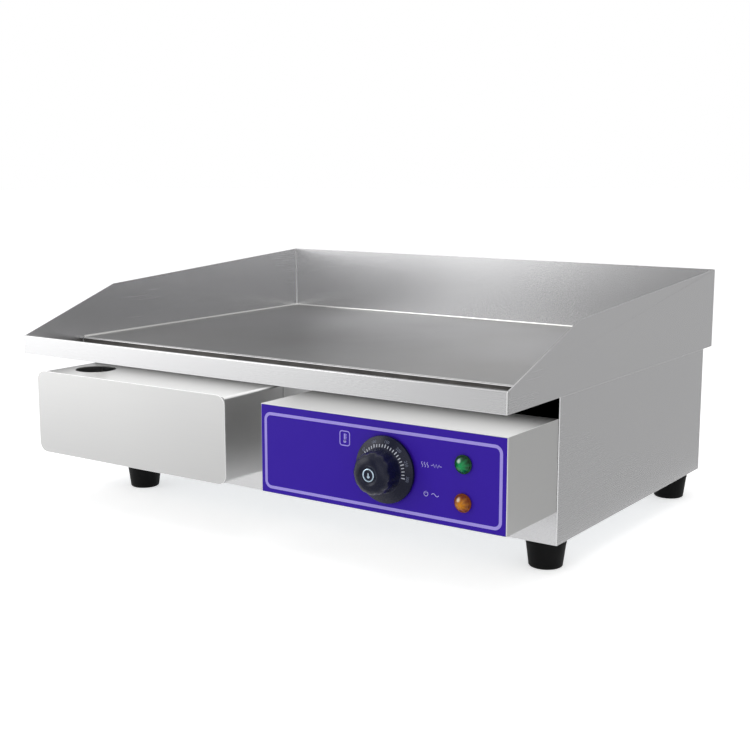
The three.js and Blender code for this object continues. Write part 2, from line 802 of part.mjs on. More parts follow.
// A switch block behind a bracket, with push-on blades at its rear and a bore for the shaft.
function thermostatBody() {
  const front = -bodySheet - gap;
  const rear = front - thermostat.bracket;
  const halfWidth = thermostat.width / 2;
  const halfHeight = thermostat.height / 2;
  const halfBracket = thermostat.bracketWidth / 2;
  const bracket = block(-halfBracket, halfBracket, -halfHeight, halfHeight, rear, front);
  const core = block(-halfWidth, halfWidth, -halfHeight, halfHeight, thermostatBack, rear + gap);
  const blades = [[-1, 1], [1, 1], [-1, -1], [1, -1]].map(([sx, sy]) => {
    const x = (sx * halfWidth) / 2;
    const y = (sy * halfHeight) / 2;
    const end = thermostatBack - blade.length;
    return block(x - blade.width / 2, x + blade.width / 2, y, y + blade.thickness, end, thermostatBack + 1);
  });
  const shaftBore = rod(shaft.radius + gap, front - shaft.inBody - gap, front + 1);
  const threads = screwOffsets.map((dx) =>
    rod(thermostatScrew.radius + gap, front - thermostatScrew.length, front + 1, dx, 0, 12),
  );
  return cut(joined(bracket, core, ...blades), shaftBore, ...threads);
}

const skirtBack = label.glue + label.thickness + knob.skirtClear;

// A shaft with one flat where the knob grips it.
function thermostatShaft() {
  const start = -bodySheet - gap - shaft.inBody;
  const end = skirtBack + shaft.grip - gap;
  const flat = block(-shaft.radius, shaft.radius, shaft.flat, shaft.radius + 1, skirtBack, end + 1);
  return cut(rod(shaft.radius, start, end), flat);
}

// A dial skirt with a fluted grip. The back is hollowed round its hub, clear of the screws.
function thermostatKnob() {
  const bore = shaft.radius + gap;
  const boreTop = skirtBack + shaft.grip;
  const roof = skirtBack + knob.recessDepth;
  const rim = skirtBack + knob.skirtThickness;
  const shoulder = knob.reach - knob.shoulder;
  const dished = knob.reach - emblem.sink - emblem.thickness;
  const dishRadius = emblem.radius + gap;
  const profile = [
    [0, boreTop],
    [bore, boreTop],
    [bore, skirtBack],
    [knob.recessInner, skirtBack],
    [knob.recessInner, roof],
    [knob.recessOuter, roof],
    [knob.recessOuter, skirtBack],
    [knob.skirtRadius, skirtBack],
    [knob.skirtRadius, rim - knob.edge],
    [knob.skirtRadius - knob.edge, rim],
    [knob.gripRadius, rim + knob.fillet],
    [knob.frontRadius, shoulder],
    [knob.frontRadius - knob.edge, shoulder + knob.shoulder / 2],
    [knob.frontRadius - knob.shoulder, knob.reach],
    [dishRadius, knob.reach],
    [dishRadius, dished],
    [0, dished],
  ];
  const away = knob.gripRadius - knob.fluteDepth + knob.fluteRadius;
  const flutes = Array.from({ length: knob.flutes }, (_, i) => {
    const angle = ((i + 0.5) * 2 * Math.PI) / knob.flutes;
    const x = away * Math.cos(angle);
    const y = away * Math.sin(angle);
    return rod(knob.fluteRadius, rim + knob.fillet + 0.1, knob.reach + 1, x, y, 20);
  });
  return cut(turned(profile, 32), ...flutes);
}

function knobEmblem() {
  const front = knob.reach - emblem.sink;
  return rod(emblem.radius, front - emblem.thickness + emblem.glue, front, 0, 0, 32);
}

const thermostatPlace = onPanel(knobX, knobZ);
part("thermostat_body", thermostatBody(), greyNylon, thermostatPlace);
part("thermostat_shaft", thermostatShaft(), zincSteel, thermostatPlace);
part("thermostat_knob", thermostatKnob(), blackPlastic, thermostatPlace);
part("knob_emblem", knobEmblem(), emblemMetal, thermostatPlace);
const screwSeat = label.glue + label.thickness + gap;
for (const [side, dx] of [["left", screwOffsets[0]], ["right", screwOffsets[1]]]) {
  const name = `thermostat_screw_${side}`;
  part(name, panScrew(thermostatScrew), zincSteel, thermostatPlace, [dx, 0, screwSeat]);
}

// ---------------------------------------------------------------- indicator lamps

// A domed lens with a stem through the panel.
function lampLens() {
  const seat = label.glue + label.thickness + gap;
  const dome = Array.from({ length: 4 }, (_, i) => {
    const angle = (i * Math.PI) / 8;
    const rise = lamp.lensReach - seat - lamp.rim;
    return [(lamp.lensRadius - lamp.rimStep) * Math.cos(angle), seat + lamp.rim + rise * Math.sin(angle)];
  });
  const stemEnd = -bodySheet - lamp.stemInside;
  return turned([
    [0, stemEnd],
    [lamp.stemRadius, stemEnd],
    [lamp.stemRadius, seat],
    [lamp.lensRadius, seat],
    [lamp.lensRadius, seat + lamp.rim],
    ...dome,
    [0, lamp.lensReach],
  ], 20);
}

// The lamp's holder behind the panel, bored for the stem, with two blades at its end.
function lampBody() {
  const front = -bodySheet - gap;
  const end = front - lamp.bodyLength;
  const barrel = rod(lamp.bodyRadius, end, front);
  const blades = [-1, 1].map((side) => {
    const x = (side * lamp.bodyRadius) / 2;
    const y = lamp.bladeWidth / 2;
    return block(x - blade.thickness / 2, x + blade.thickness / 2, -y, y, end - blade.length, end + 1);
  });
  const bore = rod(lamp.stemRadius + gap, -bodySheet - lamp.stemInside - gap, front + 1);
  return cut(joined(barrel, ...blades), bore);
}

for (const [name, z, lens] of lampRows) {
  const place = onPanel(lampX, z);
  part(`${name}_lamp_lens`, lampLens(), lens, place);
  part(`${name}_lamp_body`, lampBody(), greyNylon, place);
}

// ---------------------------------------------------------------- grease drawer and its sleeve

// A sleeve open at the front, with a hole in its roof under the drain spout.
function dripSleeve() {
  const t = bodySheet;
  const front = box.front + drawer.frontThickness + gap;
  const outer = roundedRectangle(sleeveLeft, sleeveRight, boxBottom, boxTop, box.cornerRadius);
  const inner = roundedRectangle(
    sleeveLeft + t,
    sleeveRight - t,
    boxBottom + t,
    boxTop - t,
    box.cornerRadius - t,
  );
  const hollow = slabAlongY(inner, front - 1, boxBack - t, 4);
  const hole = rod(sleeveHole.radius, boxTop - 5, boxTop + 5, drainX, drain.fromFront, 40);
  return cut(slabAlongY(outer, front, boxBack, 4), hollow, hole);
}

const trayFront = box.front + drawer.frontThickness + gap;
const trayBack = boxBack - bodySheet - drawer.rearClear;
const trayLeft = sleeveLeft + bodySheet + drawer.sideClear;
const trayRight = sleeveRight - bodySheet - drawer.sideClear;
const trayBottom = boxBottom + bodySheet + gap;
const trayTop = boxTop - bodySheet - drawer.topClear;

// The open tray that catches the grease.
function greaseDrawer() {
  const t = drawer.sheet;
  const radius = drawer.cornerInside;
  const outer = roundedRectangle(trayLeft, trayRight, trayFront, trayBack, radius);
  const inner = roundedRectangle(trayLeft + t, trayRight - t, trayFront + t, trayBack - t, radius - t);
  return cut(slab(outer, trayBottom, trayTop, 4), slab(inner, trayBottom + t, trayTop + 1, 4));
}

// The front plate, with large corner radii, which closes the sleeve and is gripped by its edges.
function drawerFront() {
  const lap = drawer.frontLap;
  const outline = roundedRectangle(
    sleeveLeft - lap,
    sleeveRight + lap,
    boxBottom - lap,
    boxTop + lap,
    drawer.cornerRadius,
  );
  return slabAlongY(outline, box.front, box.front + drawer.frontThickness, 8);
}

part("drip_sleeve", dripSleeve(), stainless);
part("grease_drawer", greaseDrawer(), stainless);
part("drawer_front", drawerFront(), stainless);

// ---------------------------------------------------------------- cable gland

// A gland through the rear panel for the mains lead: a flange, a domed cap and a thread inside.
function cableGland() {
  const { threadRadius, flangeRadius, flangeLength, domeLength, domeStep, inside, boreRadius } = gland;
  const end = flangeLength + domeLength;
  return turned([
    [boreRadius, -inside],
    [threadRadius, -inside],
    [threadRadius, gap],
    [flangeRadius, gap],
    [flangeRadius, flangeLength],
    [flangeRadius - domeStep, flangeLength + domeStep / 2],
    [flangeRadius - domeStep, end - 3 * domeStep],
    [flangeRadius - 2 * domeStep, end - domeStep],
    [boreRadius + domeStep, end],
    [boreRadius, end],
    [boreRadius, -inside],
  ], 24);
}

const glandBody = part("cable_gland", cableGland(), greyNylon, griddle, [glandX, bodyBack, glandZ]);
glandBody.rotation.x = -Math.PI / 2;
const lockNut = {
  acrossFlats: gland.nutAcrossFlats,
  height: gland.nutHeight,
  boreRadius: gland.threadRadius + gap,
};
const lockNutY = bodyBack - bodySheet - gap - lockNut.height;
const glandNut = part("gland_nut", hexNut(lockNut, 24), greyNylon, griddle, [glandX, lockNutY, glandZ]);
glandNut.rotation.x = -Math.PI / 2;

// ---------------------------------------------------------------- sensing bulb and capillary

const bulbY = firstRun + 1.5 * runPitch;
const bulbZ = bodyTop - gap - bulb.radius;
const bulbEnd = bulb.length / 2;

// A strap welded to the plate that holds the bulb against it.
function bulbClip() {
  const inner = bulb.radius + gap;
  const outer = inner + clip.sheet;
  const top = bodyTop - gap;
  const floor = bulbZ - inner;
  const shape = polygon([
    [-outer - clip.foot, top - clip.sheet],
    [-outer, top - clip.sheet],
    [-outer, floor - clip.sheet],
    [outer, floor - clip.sheet],
    [outer, top - clip.sheet],
    [outer + clip.foot, top - clip.sheet],
    [outer + clip.foot, top],
    [inner, top],
    [inner, floor],
    [-inner, floor],
    [-inner, top],
    [-outer - clip.foot, top],
  ]);
  return slabAlongX(shape, -clip.width / 2, clip.width / 2);
}

// The fine tube from the bulb, under the elements, down the right side and through the window
// in the front of the body to the thermostat.
function capillaryTube() {
  const low = bodyTop - capillary.level;
  const sideX = terminalX + capillary.sideClear;
  const thermostatY = box.front - thermostatBack;
  const turnY = thermostatY + capillary.behind;
  const entryX = knobX + 2 * capillary.radius;
  const entryZ = knobZ - thermostat.height / 4 + blade.width;
  const dipStart = bulbEnd + capillary.lead;
  return bar([
    [bulbEnd + gap, bulbY, bulbZ],
    [dipStart, bulbY, bulbZ],
    [dipStart + bulbZ - low, bulbY, low],
    [sideX, bulbY, low],
    [sideX, bulbY, knobZ + capillary.aboveKnob],
    [sideX, turnY, knobZ + capillary.aboveKnob],
    [entryX, turnY, entryZ],
    [entryX, thermostatY + gap, entryZ],
  ], capillary.radius, capillary.bend, 6, 3);
}

part("bulb_clip", bulbClip(), zincSteel, griddle, [0, bulbY, 0]);
const bulbBar = rod(bulb.radius, -bulbEnd, bulbEnd, 0, 0, 16);
const bulbMesh = part("sensing_bulb", bulbBar, copper, griddle, [0, bulbY, bulbZ]);
bulbMesh.rotation.y = Math.PI / 2;
part("capillary_tube", capillaryTube(), copper);

// ---------------------------------------------------------------- terminals and wiring

const blockX = glandX;
const blockY = bodyBack - terminals.fromBack;
const blockBottom = bodyBottom + bodySheet + gap;
const polePitch = terminals.width / 3;
const poles = { live: blockX - polePitch, earth: blockX, neutral: blockX + polePitch };
const blockFace = blockY - terminals.depth / 2;
const poleZ = blockBottom + terminals.height / 2;

// A porcelain block with three poles, each with an entry at the front and at the back.
function terminalBlock() {
  const { width, depth, height, poleRadius, poleDepth } = terminals;
  const whole = block(
    blockX - width / 2,
    blockX + width / 2,
    blockY - depth / 2,
    blockY + depth / 2,
    blockBottom,
    blockBottom + height,
  );
  const entries = Object.values(poles).flatMap((x) => [
    rodAlongY(poleRadius, x, poleZ, blockFace - 1, blockFace + poleDepth, 12),
    rodAlongY(poleRadius, x, poleZ, blockFace + depth - poleDepth, blockFace + depth + 1, 12),
  ]);
  return cut(whole, ...entries);
}

const cutoutX = bodyHalf - cutout.fromRight;
const cutoutY = bodyBack - cutout.fromBack;
const cutoutTop = shieldTop - shield.sheet - gap;
const cutoutBottom = cutoutTop - cutout.height;

// A round bimetal switch that opens if the shield overheats.
function overheatCutout() {
  const { radius, height, flangeWidth } = cutout;
  const ears = block(-flangeWidth / 2, flangeWidth / 2, -radius * 0.6, radius * 0.6, -1, 0);
  const blades = [-1, 1].map((side) => {
    const x = (side * radius) / 2;
    const y = cutout.bladeWidth / 2;
    const tip = -height - blade.length;
    return block(x - blade.thickness / 2, x + blade.thickness / 2, -y, y, tip, 1 - height);
  });
  return joined(ears, rod(radius, -height, 0), ...blades);
}

part("terminal_block", terminalBlock(), porcelain);
part("overheat_cutout", overheatCutout(), blackPlastic, griddle, [cutoutX, cutoutY, cutoutTop]);

// Where each wire ends: just clear of the tip of a blade, in a pole's entry, or under a pin.
const bladeTipY = box.front - thermostatBack + blade.length + gap;
const bladeX = thermostat.width / 4;
const bladeZ = thermostat.height / 4;
const cutoutBladeEnd = cutoutBottom - blade.length - gap;
const pinEnd = pinBottom - gap;
const entryY = blockFace + terminals.poleDepth - gap;
const pins = [
  firstRun,
  firstRun + (element.runs - 1) * runPitch,
  firstRun + element.runs * runPitch,
  lastRun,
];
const besidePin = element.pinRadius + wire.radius + gap;
const pinMiddle = pinBottom + element.pinLength / 2;
const wireTurnY = blockFace - wire.outward; // where the leads from the block turn up
const cutoutTurnY = bladeTipY + 62; // where the two leads from the thermostat turn
const switchedTurnY = bladeTipY + 50;
const wireLevel = { cutout: bodyBottom + 34, live: bodyBottom + 50, neutral: bodyBottom + 56 };

const wires = [
  ["live_lead", brownSleeve, [
    [poles.live, entryY, poleZ],
    [poles.live, wireTurnY, poleZ],
    [poles.live, wireTurnY, wireLevel.live],
    [cutoutX + cutout.radius / 2, cutoutY, wireLevel.live],
    [cutoutX + cutout.radius / 2, cutoutY, cutoutBladeEnd],
  ]],
  ["cutout_lead", brownSleeve, [
    [cutoutX - cutout.radius / 2, cutoutY, cutoutBladeEnd],
    [cutoutX - cutout.radius / 2, cutoutY, wireLevel.cutout],
    [knobX - bladeX, cutoutTurnY, wireLevel.cutout],
    [knobX - bladeX, cutoutTurnY, knobZ + bladeZ],
    [knobX - bladeX, bladeTipY, knobZ + bladeZ],
  ]],
  ["switched_lead", brownSleeve, [
    [knobX + bladeX, bladeTipY, knobZ - bladeZ],
    [knobX + bladeX, switchedTurnY, knobZ - bladeZ],
    [terminalX, pins[1], knobZ - bladeZ],
    [terminalX, pins[1], pinEnd],
  ]],
  ["live_jumper", brownSleeve, [
    [terminalX - besidePin, pins[1], pinMiddle],
    [terminalX - besidePin, pins[2], pinMiddle],
  ]],
  ["neutral_lead", blueSleeve, [
    [poles.neutral, entryY, poleZ],
    [poles.neutral, wireTurnY, poleZ],
    [poles.neutral, wireTurnY, wireLevel.neutral],
    [terminalX, pins[3], wireLevel.neutral],
    [terminalX, pins[3], pinEnd],
  ]],
  ["neutral_jumper", blueSleeve, [
    [terminalX + besidePin, pins[0], pinMiddle],
    [terminalX + besidePin, pins[3], pinMiddle],
  ]],
  ["earth_lead", greenSleeve, [
    [poles.earth, entryY, poleZ],
    [poles.earth, wireTurnY, poleZ],
    [earthX, earthY, bodyBottom + earthStud.height + wire.radius + gap],
  ]],
];
for (const [name, sleeve, route] of wires) part(name, bar(route, wire.radius, wire.bend, 6, 3), sleeve);

// ---------------------------------------------------------------- origin

const knobFront = box.front - knob.reach;
griddle.position.y = -(knobFront + pan.depth) / 2;

export default griddle;
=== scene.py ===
# Looks of a counter-top electric griddle: a ground steel plate in a stainless splash guard on a
# box body, with a thermostat box and a grease drawer at the front. Metres, in the frame's axes:
# +X to the user's right, +Y to the back, +Z up.
import math

import bmesh
import bpy
from mathutils import Matrix, Vector

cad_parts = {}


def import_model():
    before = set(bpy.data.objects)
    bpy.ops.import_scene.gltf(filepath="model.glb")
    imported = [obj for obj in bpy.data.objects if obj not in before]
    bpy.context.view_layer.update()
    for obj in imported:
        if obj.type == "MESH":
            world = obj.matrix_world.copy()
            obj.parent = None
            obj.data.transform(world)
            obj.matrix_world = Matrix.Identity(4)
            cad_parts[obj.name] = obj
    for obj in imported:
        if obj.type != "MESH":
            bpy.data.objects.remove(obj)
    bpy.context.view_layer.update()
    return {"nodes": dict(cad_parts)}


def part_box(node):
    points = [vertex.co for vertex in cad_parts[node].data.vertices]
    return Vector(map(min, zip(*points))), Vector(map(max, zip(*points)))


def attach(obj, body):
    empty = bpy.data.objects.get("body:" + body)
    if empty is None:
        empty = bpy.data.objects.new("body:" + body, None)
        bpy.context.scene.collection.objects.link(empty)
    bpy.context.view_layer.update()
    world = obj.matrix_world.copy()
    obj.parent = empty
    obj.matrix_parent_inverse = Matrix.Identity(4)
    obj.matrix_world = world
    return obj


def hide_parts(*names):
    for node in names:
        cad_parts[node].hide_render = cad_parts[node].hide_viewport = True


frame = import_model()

MM = 0.001

# ---------------------------------------------------------------- sizes and places

guard_low, guard_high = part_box("splash_guard")
trough_low, trough_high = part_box("grease_trough")
plate_low, plate_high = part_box("griddle_plate")
body_low, body_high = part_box("body_wrap")
box_low, box_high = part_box("control_housing")
label_low, label_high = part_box("fascia_label")
front_low, front_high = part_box("drawer_front")
knob_low, knob_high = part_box("thermostat_knob")
emblem_low, emblem_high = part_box("knob_emblem")

PAN_SHEET = 1.2 * MM
WALL_BEND = 1.3 * MM  # inside radius where the side walls turn into the back wall
WELD_LEG = 1.7 * MM  # of the weld that joins the plate to the walls
BODY_BEND = 1.6 * MM  # outside radius of the body's upright folds
BOX_BEND = 0.8 * MM  # outside radius of the control box's front right fold
DRAWER_CORNER = 10 * MM  # radius of the drawer front's corners
KNOB_AXIS = (knob_low + knob_high) / 2
LABEL_FRONT = label_low.y

# Places in an object's list of materials. Place 0 is its main one.
EDGE = 1  # rounded edges, near white: a painted highlight
FRONT_FACE = 2  # the plate's front face, which takes a painted shade

# ---------------------------------------------------------------- materials


def colour(hex_value, alpha=1.0):
    """An sRGB hex value as linear red, green, blue and alpha."""
    parts = [int(hex_value[i : i + 2], 16) / 255 for i in (0, 2, 4)]
    linear = [c / 12.92 if c <= 0.04045 else ((c + 0.055) / 1.055) ** 2.4 for c in parts]
    return (*linear, alpha)


def add(tree, kind, inputs=None, **settings):
    """Adds a node. inputs holds plain values and other nodes' outputs, by name or place."""
    made = tree.nodes.new("ShaderNode" + kind)
    for name, value in settings.items():
        setattr(made, name, value)
    for name, item in (inputs or {}).items():
        if isinstance(item, bpy.types.NodeSocket):
            tree.links.new(item, made.inputs[name])
        else:
            made.inputs[name].default_value = item
    return made


def new_material(name, **shader_values):
    """A material with one Principled shader, its tree, its shader and object coordinates."""
    made = bpy.data.materials.new(name)
    made.use_nodes = True
    tree = made.node_tree
    tree.nodes.clear()
    values = {key.replace("_", " "): value for key, value in shader_values.items()}
    shader = add(tree, "BsdfPrincipled", values)
    add(tree, "OutputMaterial", {"Surface": shader.outputs["BSDF"]})
    return made, tree, shader, add(tree, "TexCoord").outputs["Object"]


def maths(tree, operation, *items):
    """A number worked out from plain numbers or outputs."""
    return add(tree, "Math", dict(enumerate(items)), operation=operation).outputs[0]


def vector_maths(tree, operation, *items):
    """The node that works out a vector, or a number, from vectors."""
    return add(tree, "VectorMath", dict(enumerate(items)), operation=operation)


def length(tree, vector):
    return vector_maths(tree, "LENGTH", vector).outputs["Value"]


def ranged(tree, value, low, high, start=0.3, end=0.7):
    """A number from low to high, as value goes from start to end."""
    inputs = {"Value": value, "From Min": start, "From Max": end, "To Min": low, "To Max": high}
    return add(tree, "MapRange", inputs).outputs["Result"]


def between(tree, factor, first, second, blend="MIX"):
    """A colour from first to second. Each of them is a colour or an output."""
    inputs = {0: factor, 6: first, 7: second}  # a Mix node's places for the factor and colours
    return add(tree, "Mix", inputs, data_type="RGBA", blend_type=blend).outputs[2]


def noise(tree, place, scale, detail, roughness=0.5):
    """Smooth patches of chance, about scale of them to the metre of place."""
    inputs = {"Vector": place, "Scale": scale, "Detail": detail, "Roughness": roughness}
    return add(tree, "TexNoise", inputs).outputs["Fac"]


def fine_lines(tree, place, pitches, detail):
    """Lines of grain: noise with its own pitch, in metres, along each axis."""
    scale = [1 / pitch for pitch in pitches]
    stretched = add(tree, "Mapping", {"Scale": scale, "Vector": place}).outputs["Vector"]
    return noise(tree, stretched, 1.0, detail)


def bumped(tree, shader, height, strength, distance):
    """Gives the shader relief that follows height."""
    relief = add(tree, "Bump", {"Strength": strength, "Distance": distance, "Height": height})
    tree.links.new(relief.outputs["Normal"], shader.inputs["Normal"])


SHEET_CLOUDS = 5.0  # to the metre: soft uneven patches of a sheet
SKIN_CLOUDS = 35.0  # to the metre: those of a moulded or plated skin


def brushed_steel(name, dark, light, roughness, across, grain_mm=0.4, run_mm=90):
    """Stainless sheet with a fine brushed grain that runs one way: a satin blur, no streaks.

    across names the axes that the grain doesn't run along. The real lines are about 0.1 mm
    apart. They are drawn at grain_mm, as fine as shows close up."""
    made, tree, shader, place = new_material(name, Metallic=1.0, Roughness=roughness)
    pitches = [(grain_mm if axis in across else run_mm) * MM for axis in "XYZ"]
    lines = fine_lines(tree, place, pitches, 1.0)
    cloud = ranged(tree, noise(tree, place, SHEET_CLOUDS, 1.0), 0.0, 0.4)
    both = maths(tree, "MULTIPLY_ADD", lines, 0.6, cloud)
    tree.links.new(between(tree, both, colour(dark), colour(light)), shader.inputs["Base Color"])
    blur = ranged(tree, both, roughness * 0.97, roughness * 1.03, 0.2, 0.9)
    tree.links.new(blur, shader.inputs["Roughness"])
    bumped(tree, shader, lines, 0.002, 0.001 * MM)
    return made


PAINTED_SHADE_CENTRE = (-0.03, 0.07, 0.0)  # middle of the painted shade, where the plate is darkest
PAINTED_SHADE_REACH = (0.17, 0.28)  # how far the painted shade reaches, to the side and to the back


def ground_plate_steel():
    """Ground mild steel cooking plate, wiped with oil: painted shade makes it darkest in the middle and
    lighter towards its edges, with fine grinding lines along it and faint soft blooms where oil has
    dried."""
    made, tree, shader, place = new_material("ground_plate_steel", Metallic=1.0, Roughness=0.34)
    lines = fine_lines(tree, place, (160 * MM, 0.8 * MM, 1.0), 3.0)
    bloom = noise(tree, place, SHEET_CLOUDS, 3.0)
    # Painted shade: the colour darkens towards the middle of the plate.
    offset = vector_maths(tree, "SUBTRACT", place, PAINTED_SHADE_CENTRE).outputs[0]
    to_reach = (1 / PAINTED_SHADE_REACH[0], 1 / PAINTED_SHADE_REACH[1], 0)
    distance = length(tree, vector_maths(tree, "MULTIPLY", offset, to_reach).outputs[0])
    wavy = maths(tree, "MULTIPLY_ADD", bloom, 0.5, distance)
    plate_painted_shade = ranged(tree, wavy, 0.0, 1.0, 0.55, 1.65)
    base = between(tree, plate_painted_shade, colour("707072"), colour("a6a6a7"))
    steel = between(tree, lines, base, colour("f6f6f6"), "MULTIPLY")
    worn = between(tree, ranged(tree, bloom, 0.0, 1.0), steel, colour("f3f1ee"), "MULTIPLY")
    tree.links.new(worn, shader.inputs["Base Color"])
    tree.links.new(ranged(tree, bloom, 0.31, 0.38), shader.inputs["Roughness"])
    bumped(tree, shader, lines, 0.02, 0.006 * MM)
    return made


def speckled(name, dark, light, roughness, grain_mm, relief_mm, metallic=0.0, gloss=0.5):
    """A moulded, plated or fired skin: small grain in gloss and relief, soft cloud in colour."""
    made, tree, shader, place = new_material(
        name, Metallic=metallic, Roughness=roughness, Specular_IOR_Level=gloss
    )
    grain = noise(tree, place, 1 / (grain_mm * MM), 3.0, 0.6)
    cloud = noise(tree, place, SKIN_CLOUDS, 2.0)
    tree.links.new(between(tree, cloud, colour(dark), colour(light)), shader.inputs["Base Color"])
    blur = ranged(tree, grain, max(roughness - 0.07, 0.02), roughness + 0.07)
    tree.links.new(blur, shader.inputs["Roughness"])
    bumped(tree, shader, grain, 0.25, relief_mm * MM)
    return made


# How many stripes of painted shade run round the lens, like facets caught by light.
PAINTED_RIB_SHADES = 8
PAINTED_CORE_OFFSET = Vector((0.6 * MM, 0, -0.6 * MM))  # of the painted bright core from the lens's middle
PAINTED_GLINT_OFFSET = Vector((-1.6 * MM, 0, 3.4 * MM))  # of the pale painted highlight
PAINTED_GLINT_RADIUS = 2.2 * MM


def across_front(tree, place, point, reach):
    """The offset from point across the front of the object, 1 long at reach."""
    offset = vector_maths(tree, "SUBTRACT", place, point).outputs[0]
    return vector_maths(tree, "MULTIPLY", offset, (1 / reach, 0, 1 / reach)).outputs[0]


def lens_plastic(name, node, deep, bright, glint):
    """Tinted acrylic lens whose colour holds painted light and shade: a painted bright core, painted
    shade towards the rim and in stripes round it, and a pale painted highlight near the top left."""
    made, tree, shader, place = new_material(
        name, Roughness=0.1, IOR=1.49, Specular_IOR_Level=0.2, Transmission_Weight=0.1
    )
    low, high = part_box(node)
    middle = (low + high) / 2
    # Painted light and shade: bright at the core, darker towards the rim, in stripes round it.
    from_painted_core = across_front(tree, place, middle + PAINTED_CORE_OFFSET, (high.x - low.x) / 2)
    sides = add(tree, "SeparateXYZ", {0: from_painted_core}).outputs
    angle = maths(tree, "ARCTAN2", sides["X"], sides["Z"])
    rib_shade = maths(tree, "SINE", maths(tree, "MULTIPLY", angle, PAINTED_RIB_SHADES))
    shade = maths(tree, "MULTIPLY_ADD", rib_shade, 0.1, length(tree, from_painted_core))
    depth = ranged(tree, shade, 0.0, 1.0, 0.1, 0.85)
    body = between(tree, depth, colour(bright), colour(deep))
    # Painted highlight: a pale spot near the top left of the lens.
    to_painted_glint = length(tree, across_front(tree, place, middle + PAINTED_GLINT_OFFSET, PAINTED_GLINT_RADIUS))
    lit = between(tree, ranged(tree, to_painted_glint, 0.0, 1.0, 0.35, 1.0), colour(glint), body)
    tree.links.new(lit, shader.inputs["Base Color"])
    return made


# Brushed stainless sheet, one for each direction that the grain runs in.
SATIN = ("c8c8c9", "cbcbcc", 0.27)
steel_along_x = brushed_steel("brushed_stainless_lengthwise", *SATIN, "YZ")
steel_along_y = brushed_steel("brushed_stainless_front_to_back", *SATIN, "XZ")
# Unpolished sheet of the two boxes: the mill's dull finish, with a wider blur than the pan's.
DULL = ("c4c4c4", "cacac9", 0.36)
mill_along_x = brushed_steel("mill_finish_stainless_lengthwise", *DULL, "YZ")
mill_along_y = brushed_steel("mill_finish_stainless_front_to_back", *DULL, "XZ")
# Rounded edges and the inside bend of the wall: near white and part matt, a painted highlight
# that looks pale from every side.
painted_highlight_edge = speckled("stainless_edge_painted_highlight", "f4f4f4", "fafafa", 0.42, 0.5, 0.005, 0.4)
# Ground weld and turned spout: brighter and smoother than the sheet.
ground_steel = brushed_steel("ground_stainless_weld", "d6d6d4", "e2e2e0", 0.2, "XYZ", 0.8)
plate_steel = ground_plate_steel()
# The plate's front face: dark and mottled, a painted shade for the dark band behind the lip.
front_face_painted_shade = speckled("front_face_painted_shade_steel", "2a2928", "6b6865", 0.45, 1.5, 0.03, 0.6)
# Bright zinc on pressed steel: bluish silver with a faint cloud.
zinc = speckled("bright_zinc_plate", "a9adb1", "bcc0c2", 0.34, 1.2, 0.01, 1.0)
# Phenolic moulding: near black with a satin skin.
phenolic = speckled("black_phenolic_moulding", "0e1126", "141833", 0.27, 0.5, 0.004, gloss=0.24)
# Moulded rubber: dull black.
rubber = speckled("moulded_black_rubber", "060607", "0a0a0b", 0.6, 0.6, 0.05, gloss=0.12)
# Polycarbonate film with screen-printed inks, all of them matt, and the dial's inks.
MATT = 0.12
violet_film = speckled("blue_violet_film", "3a18b2", "3e1cb6", 0.4, 0.4, 0.006, gloss=MATT)
lilac_ink = speckled("lilac_screen_ink", "b3a4fd", "baacff", 0.5, 0.4, 0.004, gloss=MATT)
pale_ink = speckled("pale_lilac_screen_ink", "c4bbfb", "ccc4ff", 0.5, 0.4, 0.004, gloss=MATT)
dial_ink = speckled("dial_white_ink", "c6cad8", "dadeea", 0.5, 0.4, 0.004, gloss=MATT)
number_ink = speckled("dial_grey_ink", "747a90", "868ca2", 0.5, 0.4, 0.004, gloss=MATT)
bright_disc = speckled("anodised_aluminium_disc", "b9cfe2", "cfe0ee", 0.25, 0.6, 0.004, 1.0)
# Lens colours: painted shade at the rim, painted light at the core, and a painted highlight.
green_lens = lens_plastic("green_acrylic_lens", "heating_lamp_lens", "04401f", "1fb366", "cdeedd")
amber_lens = lens_plastic("amber_acrylic_lens", "power_lamp_lens", "8a3c05", "ef9a22", "fbe2c0")
# Heater tube: steel that has turned dull green-grey in use.
sheath = speckled("oxidised_heater_tube", "4a534a", "5d665c", 0.5, 0.8, 0.02, 1.0)
fibre = speckled("ceramic_fibre_mat", "d9d6cd", "efece4", 0.95, 1.5, 0.5)
porcelain = speckled("glazed_porcelain", "e9e5da", "f2eee4", 0.16, 1.0, 0.01)
copper = speckled("drawn_copper", "a8673f", "bb7a4e", 0.3, 0.6, 0.01, 1.0)
nylon = speckled("moulded_grey_nylon", "232427", "2e2f33", 0.48, 0.5, 0.02)
brown_silicone = speckled("brown_silicone_sleeve", "5d2f1b", "6f3b24", 0.6, 0.5, 0.02)
blue_silicone = speckled("blue_silicone_sleeve", "1f4c92", "285ba8", 0.6, 0.5, 0.02)
green_silicone = speckled("green_silicone_sleeve", "3d7c2c", "4c9139", 0.6, 0.5, 0.02)

# ---------------------------------------------------------------- mesh helpers


def linked(name, data):
    """An object of data, in the scene."""
    made = bpy.data.objects.new(name, data)
    bpy.context.scene.collection.objects.link(made)
    return made


